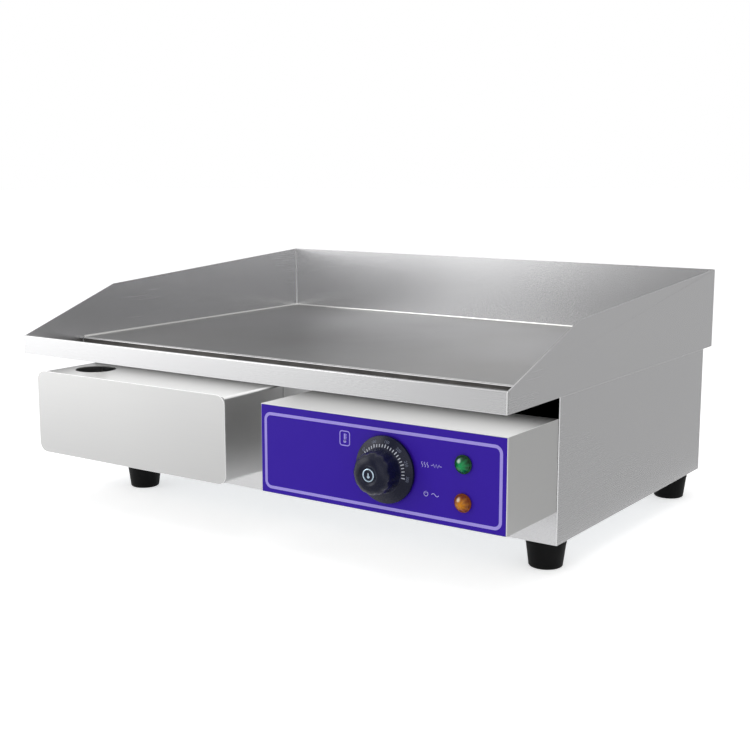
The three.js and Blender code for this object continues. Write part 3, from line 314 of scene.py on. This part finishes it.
def finish_piece(name, mesh, material, body="appliance", stands_for=(), smooth=50):
    """Makes an object of a bmesh, with one material, on its body. Flat faces keep flat normals
    and the rounded edges between them are shaded smooth."""
    data = bpy.data.meshes.new(name)
    bmesh.ops.remove_doubles(mesh, verts=mesh.verts, dist=1e-6)
    mesh.to_mesh(data)
    mesh.free()
    made = linked(name, data)
    data.materials.append(material)
    # Rounded edges take a second material, near white: a painted highlight.
    if any(face.material_index == EDGE for face in data.polygons):
        data.materials.append(painted_highlight_edge)
    data.shade_smooth()
    data.set_sharp_from_angle(angle=math.radians(smooth))
    shading = made.modifiers.new("flat_face_normals", "WEIGHTED_NORMAL")
    shading.keep_sharp = True
    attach(made, body)
    if stands_for:
        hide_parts(*stands_for)
    return made


def sharp_edges(mesh, degrees):
    limit = math.radians(degrees)
    return [e for e in mesh.edges if e.is_manifold and e.calc_face_angle(0) > limit]


def rounded(mesh, edges, radius, segments, finish=0):
    """Rounds edges. finish is the material place that the new faces take."""
    if edges:
        made = bmesh.ops.bevel(
            mesh, geom=list(edges), offset=radius, offset_type="OFFSET", segments=segments,
            profile=0.5, affect="EDGES", clamp_overlap=True, material=-1,
        )
        for face in made["faces"]:
            face.material_index = finish


def rounded_corner(mesh, point, radius, segments):
    """Rounds a flat face at one of its corner points."""
    bmesh.ops.bevel(
        mesh, geom=[point], offset=radius, offset_type="OFFSET", segments=segments,
        profile=0.5, affect="VERTICES", material=-1,
    )


def lies_along(edge, axis, first, second, reach=0.06 * MM):
    """Whether an edge runs along an axis, at these two places on the other axes."""
    middle = (edge.verts[0].co + edge.verts[1].co) / 2
    along = (edge.verts[0].co - edge.verts[1].co).normalized()
    places = [middle[i] for i in range(3) if i != axis]
    near = abs(places[0] - first) < reach and abs(places[1] - second) < reach
    return abs(along[axis]) > 0.999 and near


def copy_of(node):
    """The CAD node's solid, merged, with its flat faces whole."""
    mesh = bmesh.new()
    mesh.from_mesh(frame["nodes"][node].data)
    bmesh.ops.remove_doubles(mesh, verts=mesh.verts, dist=5e-6)
    bmesh.ops.dissolve_limit(mesh, angle_limit=math.radians(1), verts=mesh.verts, edges=mesh.edges)
    return mesh


def thicken(mesh, vector):
    """Gives flat faces a thickness along a vector."""
    grown = bmesh.ops.extrude_face_region(mesh, geom=list(mesh.faces))["geom"]
    points = [g for g in grown if isinstance(g, bmesh.types.BMVert)]
    bmesh.ops.translate(mesh, verts=points, vec=vector)
    bmesh.ops.recalc_face_normals(mesh, faces=mesh.faces)


def outline_plate(corners, thickness, radii, segments):
    """A flat plate from a closed line of corner points, each corner rounded by its radius.

    The plate thickens along thickness, a vector."""
    mesh = bmesh.new()
    points = [mesh.verts.new(p) for p in corners]
    mesh.faces.new(points)
    for point, radius in zip(points, radii):
        rounded_corner(mesh, point, radius, segments)
    thicken(mesh, thickness)
    return mesh


def rectangle(x0, x1, z0, z1, y):
    return [(x0, y, z0), (x1, y, z0), (x1, y, z1), (x0, y, z1)]


def turned(profile, steps):
    """A profile of (radius, height) points turned about Z. It starts and ends on the axis or
    closes on itself."""
    mesh = bmesh.new()
    points = [mesh.verts.new((radius, 0, height)) for radius, height in profile]
    edges = [mesh.edges.new(pair) for pair in zip(points, points[1:])]
    bmesh.ops.spin(
        mesh, geom=points + edges, cent=(0, 0, 0), axis=(0, 0, 1), dvec=(0, 0, 0),
        angle=2 * math.pi, steps=steps, use_merge=True, use_duplicate=False,
    )
    bmesh.ops.remove_doubles(mesh, verts=mesh.verts, dist=1e-7)
    bmesh.ops.recalc_face_normals(mesh, faces=mesh.faces)
    return mesh


def moved(mesh, matrix):
    bmesh.ops.transform(mesh, matrix=matrix, verts=mesh.verts)
    return mesh


def joined_in(mesh, extra):
    """Adds extra's faces to mesh."""
    holder = bpy.data.meshes.new("holder")
    extra.to_mesh(holder)
    extra.free()
    mesh.from_mesh(holder)
    bpy.data.meshes.remove(holder)


def facing_front(point):
    """Turns +Z to -Y and moves the origin to point."""
    return Matrix.Translation(point) @ Matrix.Rotation(math.pi / 2, 4, "X")


def arc(centre, radius, start, end, steps):
    """Points of an arc, in degrees, as (radius, height) or any pair."""
    angles = [math.radians(start + (end - start) * i / steps) for i in range(steps + 1)]
    return [(centre[0] + radius * math.cos(a), centre[1] + radius * math.sin(a)) for a in angles]


# ---------------------------------------------------------------- splash guard, trough, plate


def splash_guard():
    """Left, back and right walls of one bent sheet, with rounded edges and inside bends in painted
    highlight.
    """
    mesh = copy_of("splash_guard")

    def bends(x, y):
        return [e for e in mesh.edges if lies_along(e, 2, x, y) or lies_along(e, 2, -x, y)]

    rounded(mesh, bends(guard_high.x, guard_high.y), WALL_BEND + PAN_SHEET, 8)
    inside = bends(guard_high.x - PAN_SHEET, guard_high.y - PAN_SHEET)
    # The inside bends take the painted highlight too.
    rounded(mesh, inside, WALL_BEND, 8, EDGE)
    rounded(mesh, sharp_edges(mesh, 50), 0.58 * MM, 3, EDGE)
    nodes = ["splash_guard"]
    return finish_piece("guard_walls", mesh, steel_along_y, stands_for=nodes)


def grease_trough():
    """Lip folded over double, its inner leaf running back as the trough floor."""
    mesh = copy_of("grease_trough")
    rounded(mesh, sharp_edges(mesh, 40), 0.5 * MM, 3, EDGE)
    nodes = ["grease_trough"]
    return finish_piece("lip_and_trough", mesh, steel_along_x, stands_for=nodes)


def griddle_plate():
    """Ground plate with its top edges broken and in painted highlight, and its studs."""
    mesh = copy_of("griddle_plate")
    rounded(mesh, sharp_edges(mesh, 35), 0.8 * MM, 3, EDGE)
    for face in mesh.faces:
        if face.normal.y < -0.99 and face.calc_center_median().y < plate_low.y + 0.1 * MM:
            face.material_index = FRONT_FACE
    nodes = ["griddle_plate"]
    made = finish_piece("cooking_plate", mesh, plate_steel, stands_for=nodes)
    # The front face takes a dark, mottled material: painted shade.
    made.data.materials.append(front_face_painted_shade)
    return made


def weld_path():
    """(x, y, turn) along the foot of the walls: left wall, back wall, right wall."""
    x = guard_high.x - PAN_SHEET
    y = guard_high.y - PAN_SHEET
    x_bend = x - WALL_BEND
    y_bend = y - WALL_BEND
    front = plate_low.y + 1 * MM
    steps = 6
    turns = [math.pi / 2 * i / steps for i in range(1, steps + 1)]
    path = [(-x, front, 0.0), (-x, y_bend, 0.0)]
    for turn in turns:
        across, along = WALL_BEND * math.cos(turn), WALL_BEND * math.sin(turn)
        path.append((-x_bend - across, y_bend + along, turn))
    for turn in turns:
        across, along = WALL_BEND * math.sin(turn), WALL_BEND * math.cos(turn)
        path.append((x_bend + across, y_bend + along, math.pi / 2 + turn))
    path.append((x, front, math.pi))
    return path


def plate_weld():
    """Ground fillet weld round three sides of the plate."""
    mesh = bmesh.new()
    sunk = -0.2 * MM
    hollow = arc((-WELD_LEG, WELD_LEG), WELD_LEG, 0, -90, 5)[1:]
    section = [(0.0, sunk), (0.0, WELD_LEG), *hollow, (-WELD_LEG, sunk)]
    loops = []
    rings = []
    for x, y, turn in weld_path():
        out = Vector((-math.cos(turn), math.sin(turn), 0))
        foot = Vector((x, y, plate_high.z))
        ring = [mesh.verts.new(foot + out * u + Vector((0, 0, v))) for u, v in section]
        rings.append(ring)
        loops.append([mesh.edges.new(pair) for pair in zip(ring, ring[1:] + ring[:1])])
    for first, second in zip(loops, loops[1:]):
        bmesh.ops.bridge_loops(mesh, edges=first + second)
    mesh.faces.new(rings[0])
    mesh.faces.new(rings[-1])
    bmesh.ops.recalc_face_normals(mesh, faces=mesh.faces)
    return finish_piece("plate_weld", mesh, ground_steel)


splash_guard()
grease_trough()
griddle_plate()
plate_weld()

# ---------------------------------------------------------------- body and boxes


def folded(node, name, material, edge, bends=(), body="appliance"):
    """A bent sheet part: its upright folds rounded, its cut edges rounded by the radius edge, in
    painted highlight.

    bends are (x, y, radius)."""
    mesh = copy_of(node)
    for x, y, radius in bends:
        rounded(mesh, [e for e in sharp_edges(mesh, 29) if lies_along(e, 2, x, y)], radius, 6)
    rounded(mesh, sharp_edges(mesh, 50), edge, 2, EDGE)
    return finish_piece(name, mesh, material, body, [node])


def drawer_front():
    """Plate with large corner radii and a rounded edge in painted highlight."""
    corners = rectangle(front_low.x, front_high.x, front_low.z, front_high.z, front_low.y)
    thickness = (0, front_high.y - front_low.y, 0)
    mesh = outline_plate(corners, thickness, [DRAWER_CORNER] * 4, 12)
    rounded(mesh, sharp_edges(mesh, 50), 0.45 * MM, 3, EDGE)
    nodes = ["drawer_front"]
    return finish_piece("drawer_face", mesh, mill_along_x, "drawer", nodes)


body_bends = [(x, body_low.y, BODY_BEND) for x in (body_low.x, body_high.x)]
box_bends = [(box_high.x, box_low.y, BOX_BEND)]
folded("body_wrap", "body_sides_and_front", steel_along_y, 0.45 * MM, body_bends)
folded("rear_panel", "rear_cover", steel_along_x, 0.2 * MM)
folded("base_plate", "bottom_cover", zinc, 0.2 * MM)
folded("control_housing", "control_box", mill_along_y, 0.45 * MM, box_bends)
folded("drip_sleeve", "drawer_sleeve", mill_along_y, 0.4 * MM)
folded("drain_spout", "drain_spout_ring", ground_steel, 0.25 * MM)
folded("grease_drawer", "drawer_tray", steel_along_x, 0.2 * MM, body="drawer")
drawer_front()

# ---------------------------------------------------------------- feet


def rubber_foot(node):
    """Cone of moulded rubber with a rounded shoulder, a moulding line and a hollow for its screw."""
    low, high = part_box(node)
    top = (high.x - low.x) / 2
    bottom = top - 3 * MM
    height = high.z - low.z
    bore, hollow, roof = 3.3 * MM, 9 * MM, 13 * MM  # the screw's hole and the hollow under it
    broken = 0.6 * MM
    toe, shoulder = 2 * MM, 1.2 * MM
    profile = [
        (bore, roof), (hollow - broken, roof), (hollow, roof - broken), (hollow, broken),
        (hollow + broken, 0), (bottom - toe, 0),
        *arc((bottom - toe, toe), toe, -90, 5, 6)[1:],
        (top - 0.55 * MM, height - 6 * MM), (top - 0.2 * MM, height - 5.6 * MM),
        (top - 0.3 * MM, height - 5.2 * MM),
        *arc((top - shoulder, height - shoulder), shoulder, 0, 90, 4),
        (bore, height), (bore, roof),
    ]
    middle = (low + high) / 2
    mesh = moved(turned(profile, 48), Matrix.Translation((middle.x, middle.y, low.z)))
    name = node.replace("foot_", "rubber_foot_")
    return finish_piece(name, mesh, rubber, stands_for=[node])


for corner_name in ("front_left", "front_right", "rear_left", "rear_right"):
    rubber_foot("foot_" + corner_name)

# ---------------------------------------------------------------- label

INK = (0, -0.03 * MM, 0)  # the film of a printed ink, towards the front
PRINT_Y = LABEL_FRONT - 0.002 * MM
STROKE = 0.55 * MM

# Middle of the gauge symbol and left end of the others, in X and Z.
GAUGE_AT = (118.2 * MM, 115.5 * MM)
HEAT_AT = (195.2 * MM, 104 * MM)
POWER_AT = (199.0 * MM, 80 * MM)

BORDER_LINE = 2.7 * MM
BORDER_CORNER = 7 * MM
BORDER_SIDE, BORDER_FOOT, BORDER_HEAD = 3.4 * MM, 3.6 * MM, 6.2 * MM  # in from the label's edges


def label_film():
    mesh = copy_of("fascia_label")
    rounded(mesh, sharp_edges(mesh, 50), 0.12 * MM, 2)
    nodes = ["fascia_label"]
    return finish_piece("label_film", mesh, violet_film, stands_for=nodes)


def label_border():
    """A closed printed line: a rounded rectangle with its middle cut out."""
    mesh = bmesh.new()
    outer = rectangle(
        label_low.x + BORDER_SIDE, label_high.x - BORDER_SIDE,
        label_low.z + BORDER_FOOT, label_high.z - BORDER_HEAD, PRINT_Y,
    )
    corners = [mesh.verts.new(p) for p in outer]
    mesh.faces.new(corners)
    for corner in corners:
        rounded_corner(mesh, corner, BORDER_CORNER, 10)
    middle = mesh.faces[:]
    bmesh.ops.inset_region(
        mesh, faces=middle, thickness=BORDER_LINE, use_even_offset=True, use_boundary=True
    )
    bmesh.ops.delete(mesh, geom=middle, context="FACES")
    thicken(mesh, INK)
    return finish_piece("label_border", mesh, lilac_ink)


def printed_line(mesh, points, width, closed=False):
    """A printed stroke of even width through points of (x, z), mitred at its bends."""
    spots = [Vector((x, PRINT_Y, z)) for x, z in points]
    count = len(spots)
    pairs = []
    for i, spot in enumerate(spots):
        before = spots[(i - 1) % count] if closed or i else spot
        after = spots[(i + 1) % count] if closed or i < count - 1 else spot
        along = (after - before).normalized()
        side = Vector((-along.z, 0, along.x)) * width / 2
        pairs.append([mesh.verts.new(spot + side), mesh.verts.new(spot - side)])
    following = pairs[1:] + (pairs[:1] if closed else [])
    for (a, b), (c, d) in zip(pairs, following):
        mesh.faces.new((a, b, d, c))


def gauge_symbol():
    """Rounded frame with a thermometer in it."""
    mesh = bmesh.new()
    x, z = GAUGE_AT
    half_width, half_height, corner = 5.0 * MM, 6.1 * MM, 2.2 * MM
    frame_line = []
    for cx, cz, turn in ((1, 1, 0), (-1, 1, 90), (-1, -1, 180), (1, -1, 270)):
        middle = (x + cx * (half_width - corner), z + cz * (half_height - corner))
        frame_line += arc(middle, corner, turn, turn + 90, 6)
    printed_line(mesh, frame_line, 0.9 * MM, closed=True)
    tube = [(x, z - 2.2 * MM), (x, z + 4.0 * MM)]
    printed_line(mesh, tube, 1.7 * MM)
    bulb = arc((x, z - 2.5 * MM), 0.75 * MM, 0, 360, 20)[:-1]
    printed_line(mesh, bulb, 1.5 * MM, closed=True)
    for i in range(4):
        level = z - 0.4 * MM + i * 1.3 * MM
        printed_line(mesh, [(x + 1.2 * MM, level), (x + 2.3 * MM, level)], 0.4 * MM)
    thicken(mesh, INK)
    return finish_piece("gauge_symbol", mesh, lilac_ink)


def heat_symbol():
    """Three rising waves and a heater's zigzag, beside the upper lamp."""
    mesh = bmesh.new()
    left, z = HEAT_AT
    for i in range(3):
        x = left + 2.6 * MM * i
        steps = range(-4, 5)
        wave = [(x - 0.7 * MM * math.sin(t * math.pi / 4), z + t * 0.52 * MM) for t in steps]
        printed_line(mesh, wave, STROKE)
    bends = [
        (8.4, 0), (9.8, 0), (10.5, 1.4), (11.9, -1.4), (13.3, 1.4), (14.7, -1.4), (16.1, 1.4),
        (16.8, 0), (18.4, 0),
    ]
    zigzag = [(left + along * MM, z + rise * MM) for along, rise in bends]
    printed_line(mesh, zigzag, 0.5 * MM)
    thicken(mesh, INK)
    return finish_piece("heat_symbol", mesh, pale_ink)


def power_symbol():
    """Ring open at the top with a bar in the gap, and a mains wave, beside the lower lamp."""
    mesh = bmesh.new()
    x, z = POWER_AT
    printed_line(mesh, arc((x, z), 1.9 * MM, 125, 415, 20), STROKE)
    printed_line(mesh, [(x, z + 0.3 * MM), (x, z + 2.4 * MM)], STROKE)
    start, step, swing = x + 5.2 * MM, 0.5 * MM, 1.1 * MM
    wave = [(start + t * step, z + swing * math.sin(t * math.pi / 7)) for t in range(15)]
    printed_line(mesh, wave, STROKE)
    thicken(mesh, INK)
    return finish_piece("power_symbol", mesh, pale_ink)


label_film()
gauge_symbol()
heat_symbol()
power_symbol()
label_border()

# ---------------------------------------------------------------- knob

GRIP_LOBES = 12
GRIP_START = 7.1 * MM  # from the back of the skirt to where the lobes begin
DISH_RIM = 14.8 * MM  # radius inside which the front is plain
LOBE_DEPTH = 0.045  # of the radius
DISH_FLOOR = 24.65  # mm from the back of the skirt
DIAL_OUTSIDE = (27.6, 3.0)  # radius and height of the coned dial's rim, in mm
DIAL_INSIDE = (19.6, 6.5)
DIAL_START, DIAL_END = -82, 100  # degrees from the top, clockwise as the user sees it
TICKS = 25
TICKS_TO_A_NUMBER = 4
TICK_RADIUS = 19.8 * MM
NUMBER_RADIUS = 23.4 * MM


def knob_body():
    """Skirt with a coned dial, and a lobed grip with a low dome round a dished centre."""
    outline = [  # radius and height, in mm
        (0, 10), (3.3, 10), (3.3, 0), (7.5, 0), (7.5, 1.6), (25.5, 1.6), (25.5, 0), (27.9, 0),
        (28.5, 0.6), (28.5, 2.0), (28.3, 2.6), DIAL_OUTSIDE, (24.0, 4.6), DIAL_INSIDE,
        (19.1, 6.8), (18.9, 7.4), (18.6, 9), (18.3, 13), (18.0, 17.5), (17.6, 20.2),
        (16.6, 22.4), (14.8, 24.2), (12.4, 25.4), (10.2, 25.95), (9.0, 26.05), (8.3, 25.85),
        (7.4, 25.0), (6.4, DISH_FLOOR), (0, DISH_FLOOR),
    ]
    mesh = turned([(radius * MM, height * MM) for radius, height in outline], 144)
    for vertex in mesh.verts:
        radius = math.hypot(vertex.co.x, vertex.co.y)
        height = vertex.co.z
        if height < GRIP_START or radius < DISH_RIM:
            continue
        angle = math.atan2(vertex.co.y, vertex.co.x)
        groove = (0.5 - 0.5 * math.cos(GRIP_LOBES * angle)) ** 2
        rise = min(1.0, (height - GRIP_START) / (4 * MM))
        fade = min(1.0, (radius - DISH_RIM) / (3 * MM))
        shrink = 1 - LOBE_DEPTH * groove * rise * fade
        vertex.co.x *= shrink
        vertex.co.y *= shrink
    moved(mesh, facing_front(Vector((KNOB_AXIS.x, knob_high.y, KNOB_AXIS.z))))
    nodes = ["thermostat_knob"]
    return finish_piece("knob_moulding", mesh, phenolic, "knob", nodes, 40)


def knob_disc():
    """Bright ring round a plain gauge symbol, sunk in the front of the grip."""
    radius = (emblem_high.x - emblem_low.x) / 2
    depth = 1.0 * MM
    centre = (emblem_low + emblem_high) / 2
    place = facing_front(Vector((centre.x, emblem_low.y + depth, centre.z)))
    inside = radius - 1.25 * MM
    profile = [
        (inside, 0), (radius, 0), (radius, depth * 0.7), (radius - 0.3 * MM, depth),
        (radius - 0.95 * MM, depth), (inside, depth * 0.6), (inside, 0),
    ]
    mesh = moved(turned(profile, 48), place)
    half, tall = 0.5 * MM, 2.9 * MM
    stem = outline_plate(
        [(-half, 0, 0), (half, 0, 0), (half, tall, 0), (-half, tall, 0)],
        (0, 0, depth * 0.8), [0.1 * MM, 0.1 * MM, 0.49 * MM, 0.49 * MM], 6,
    )
    bulb = turned(
        [(0, 0), (1.25 * MM, 0), (1.25 * MM, depth * 0.55), (0.95 * MM, depth * 0.8), (0, depth * 0.8)],
        24,
    )
    joined_in(mesh, moved(stem, place @ Matrix.Translation((0, -1.0 * MM, 0))))
    joined_in(mesh, moved(bulb, place @ Matrix.Translation((0, -1.4 * MM, 0))))
    return finish_piece("knob_ring", mesh, bright_disc, "knob", ["knob_emblem"])


def on_dial(turn, radius):
    """Where something drawn upright at the origin stands on the coned dial, turned to its place."""
    cone = math.atan2(DIAL_INSIDE[1] - DIAL_OUTSIDE[1], DIAL_OUTSIDE[0] - DIAL_INSIDE[0])
    fall = (radius - DIAL_INSIDE[0] * MM) * math.tan(cone)
    level = knob_high.y - (DIAL_INSIDE[1] * MM - fall + 0.02 * MM)
    return (
        Matrix.Translation((KNOB_AXIS.x, level, KNOB_AXIS.z))
        @ Matrix.Rotation(turn, 4, "Y")
        @ Matrix.Translation((0, 0, radius))
        @ Matrix.Rotation(-cone, 4, "X")
    )


def dial_turn(step, steps):
    """The turn of one of steps + 1 even places round the dial."""
    return math.radians(DIAL_START + (DIAL_END - DIAL_START) * step / steps)


def dial_marks():
    """Ticks round the dial, long at every fourth."""
    mesh = bmesh.new()
    for i in range(TICKS):
        major = i % TICKS_TO_A_NUMBER == 0
        tall = 2.9 * MM if major else 2.4 * MM
        half = 0.475 * MM if major else 0.4 * MM
        place = on_dial(dial_turn(i, TICKS - 1), TICK_RADIUS)
        stroke = rectangle(-half, half, 0, tall, 0)
        mesh.faces.new([mesh.verts.new(place @ Vector(p)) for p in stroke])
    thicken(mesh, (0, -0.08 * MM, 0))
    return finish_piece("dial_marks", mesh, dial_ink, "knob")


def dial_numbers():
    """Generic temperature numbers on the dial."""
    mesh = bmesh.new()
    words = ["0", "50", "100", "150", "200", "250", "300"]
    for i, word in enumerate(words):
        text = bpy.data.curves.new("dial_number", "FONT")
        text.body = word
        text.size = 3.4 * MM
        text.align_x = "CENTER"
        text.resolution_u = 3
        text.extrude = 0.04 * MM
        holder = linked("dial_number", text)
        bpy.context.view_layer.update()
        flat = bpy.data.meshes.new_from_object(holder)
        flat.transform(Matrix.Rotation(math.pi / 2, 4, "X"))
        flat.transform(on_dial(dial_turn(i, len(words) - 1), NUMBER_RADIUS))
        mesh.from_mesh(flat)
        bpy.data.meshes.remove(flat)
        bpy.data.objects.remove(holder)
        bpy.data.curves.remove(text)
    return finish_piece("dial_numbers", mesh, number_ink, "knob")


knob_body()
knob_disc()
dial_marks()
dial_numbers()

# ---------------------------------------------------------------- lamps

LENS_FACETS = 10


def lamp_lens(node, name, material):
    """Moulded lens: a collar, and a dome cut in two rings of facets round a small flat."""
    low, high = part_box(node)
    radius = (high.x - low.x) / 2
    seat = label_high.y - 0.75 * MM
    reach = seat - low.y
    dome = radius - 0.9 * MM
    neck, back = 4.6 * MM, -4 * MM
    collar = [
        (0, back), (neck, back), (neck, 0), (radius - 0.3 * MM, 0), (radius, 0.3 * MM),
        (radius, 1.0 * MM), (radius - 0.4 * MM, 1.4 * MM), (dome, 1.5 * MM), (0, 1.5 * MM),
    ]
    cut = [
        (0, 1.2 * MM), (dome * 0.97, 1.2 * MM), (dome * 0.97, 1.9 * MM),
        (dome * 0.72, reach - 1.3 * MM), (dome * 0.3, reach), (0, reach),
    ]
    mesh = turned(collar, 48)
    joined_in(mesh, turned(cut, LENS_FACETS))
    centre = (low + high) / 2
    moved(mesh, facing_front(Vector((centre.x, seat, centre.z))))
    return finish_piece(name, mesh, material, stands_for=[node], smooth=12)


lamp_lens("heating_lamp_lens", "green_lens", green_lens)
lamp_lens("power_lamp_lens", "amber_lens", amber_lens)

# ---------------------------------------------------------------- carried-over CAD nodes

carried = {
    zinc: ["clamp_", "shield_nut", "heat_shield", "rear_screw", "foot_screw", "thermostat_screw",
           "thermostat_shaft", "bulb_clip"],
    sheath: ["heating_element"],
    fibre: ["insulation_mat"],
    porcelain: ["terminal_block"],
    copper: ["sensing_bulb", "capillary_tube"],
    nylon: ["thermostat_body", "heating_lamp_body", "power_lamp_body", "gland_nut", "cable_gland"],
    phenolic: ["overheat_cutout"],
    brown_silicone: ["live_lead", "cutout_lead", "switched_lead", "live_jumper"],
    blue_silicone: ["neutral_"],
    green_silicone: ["earth_lead"],
}
for material, starts in carried.items():
    for name, node in frame["nodes"].items():
        if name.startswith(tuple(starts)):
            node.data.materials.clear()
            node.data.materials.append(material)

# ---------------------------------------------------------------- stage, lights and camera

WHITE = (1, 1, 1, 1)
BLACK = (0, 0, 0, 1)
FLOOR_GLOW = 0.55
AMBIENT = 0.55


def seen_directly(tree):
    """1 for camera, glossy and transmission rays, and 0 for the light that falls on things."""
    rays = add(tree, "LightPath").outputs
    first = maths(tree, "MAXIMUM", rays["Is Camera Ray"], rays["Is Glossy Ray"])
    return maths(tree, "MAXIMUM", first, rays["Is Transmission Ray"])


def staged(name, mesh, material):
    data = bpy.data.meshes.new(name)
    mesh.to_mesh(data)
    mesh.free()
    data.materials.append(material)
    made = linked(name, data)
    return made


def floor():
    """White paper sweep. It shows nearly white and keeps a faint shadow of the object."""
    paper, tree, shader, _ = new_material(
        "white_paper_floor", Roughness=0.9, Specular_IOR_Level=0.1, Base_Color=colour("f4f4f4"),
        Emission_Color=WHITE,
    )
    glow = maths(tree, "MULTIPLY", seen_directly(tree), FLOOR_GLOW)
    tree.links.new(glow, shader.inputs["Emission Strength"])
    mesh = bmesh.new()
    bmesh.ops.create_circle(mesh, cap_ends=True, segments=64, radius=14.0)
    staged("studio_floor", mesh, paper)


def grey_card(name, corner, across, up, start, end=None):
    """A studio card that only shows in the steel. across and up are its two sides, and its
    brightness goes from start to end along across."""
    board, tree, shader, place = new_material(
        name + "_board", Roughness=1.0, Base_Color=BLACK, Emission_Color=WHITE
    )
    corner, across, up = Vector(corner), Vector(across), Vector(up)
    offset = vector_maths(tree, "SUBTRACT", place, corner).outputs[0]
    side = across / across.length_squared
    reach = vector_maths(tree, "DOT_PRODUCT", offset, side).outputs["Value"]
    glow = ranged(tree, reach, start, start if end is None else end, 0.0, 1.0)
    tree.links.new(glow, shader.inputs["Emission Strength"])
    mesh = bmesh.new()
    spots = (corner, corner + across, corner + across + up, corner + up)
    mesh.faces.new([mesh.verts.new(p) for p in spots])
    card = staged(name, mesh, board)
    card.visible_camera = False
    card.visible_diffuse = False
    card.visible_shadow = False
    card.visible_transmission = False


def soft_box(name, place, target, size, radiance):
    """An area lamp whose face shines at radiance, aimed at target."""
    width, height = size
    lamp = bpy.data.lights.new(name, "AREA")
    lamp.shape = "RECTANGLE"
    lamp.size = width
    lamp.size_y = height
    lamp.energy = radiance * math.pi * width * height
    made = linked(name, lamp)
    made.location = place
    made.rotation_euler = (Vector(target) - Vector(place)).to_track_quat("-Z", "Y").to_euler()
    made.visible_camera = False
    return made


def world():
    """Shows white, and lights the object at AMBIENT."""
    made = bpy.data.worlds.new("studio")
    bpy.context.scene.world = made
    made.use_nodes = True
    tree = made.node_tree
    tree.nodes.clear()
    ambient = add(tree, "Background", {"Color": WHITE, "Strength": AMBIENT}).outputs[0]
    white = add(tree, "Background", {"Color": WHITE, "Strength": 1.0}).outputs[0]
    mixed = add(tree, "MixShader", {0: seen_directly(tree), 1: ambient, 2: white})
    add(tree, "OutputWorld", {"Surface": mixed.outputs[0]})


def room_cards():
    """Cards round the object. Each is as bright as the wall, lip or box face that mirrors it."""
    low = 0.002  # of the cards that lie on the floor
    grey_card("right_floor_card", (0.30, -0.10, low), (1.4, 0, 0), (0, 2.45, 0), 0.525)
    grey_card("right_card", (1.7, -0.1, 0), (0, 2.45, 0), (0, 0, 1.2), 0.525)
    grey_card("front_floor_card", (0.29, -0.26, low), (-0.94, 0, 0), (0, -1.32, 0), 0.6, 1.12)
    grey_card("left_floor_card", (-0.65, -0.26, low), (-1.0, 0, 0), (0, -1.32, 0), 1.12, 2.4)
    grey_card("front_card", (-0.1, -1.6, 0.0), (-0.6, 0, 0), (0, 0, 1.2), 0.15, 0.4)
    grey_card("front_left_card", (-0.7, -1.6, 0.0), (-1.7, 0, 0), (0, 0, 1.2), 1.35, 1.7)
    grey_card("front_right_card", (0.2, -1.6, 0.0), (1.6, 0, 0), (0, 0, 1.2), 1.4)
    grey_card("header_card", (-0.33, -0.6, 0.22), (-0.9, 0, 0), (0, 0, 0.8), 2.6)
    grey_card("back_card", (-2.6, 1.0, 0), (4.2, 0, 0), (0, 0, 1.3), 0.38, 0.62)


def overhang_cards():
    """Cards close to the object that the tops of the two boxes mirror: one in the gap between the
    body's front and the trough, and two just under the trough."""
    left = body_low.x + 2 * MM
    under = trough_low.z - 0.5 * MM
    front = trough_low.y + 2 * MM
    foot = box_high.z + 0.7 * MM
    gap_back = body_low.y + 0.8 * MM
    half = (-left, 0, 0)
    deep = (0, body_low.y - front, 0)
    tall = (0, 0, under - 0.1 * MM - foot)
    grey_card("vent_card", (left, gap_back, foot), (-2 * left, 0, 0), tall, 1.7, 1.5)
    grey_card("left_overhang_card", (left, front, under), half, deep, 1.5, 1.7)
    grey_card("right_overhang_card", (0.0, front, under), half, deep, 1.15, 1.55)


def camera():
    data = bpy.data.cameras.new("camera")
    data.lens = 60.5
    made = linked("camera", data)
    made.location = (0.7262, -1.0391, 0.3454)
    look_down, turn = 0.169, 0.605
    made.rotation_euler = (math.pi / 2 - look_down, 0, turn)
    bpy.context.scene.camera = made


floor()
world()
soft_box("key_front_left", (-1.25, -1.5, 0.7), (0, 0.1, 0.15), (0.5, 0.9), 2.6)
overhead = soft_box("overhead", (0.1, -0.1, 1.9), (0, 0, 0.1), (1.6, 1.6), 1.2)
overhead.visible_glossy = False  # level steel would show it as a blank white patch from above
room_cards()
overhang_cards()
camera()
bpy.context.scene.view_settings.view_transform = "Standard"
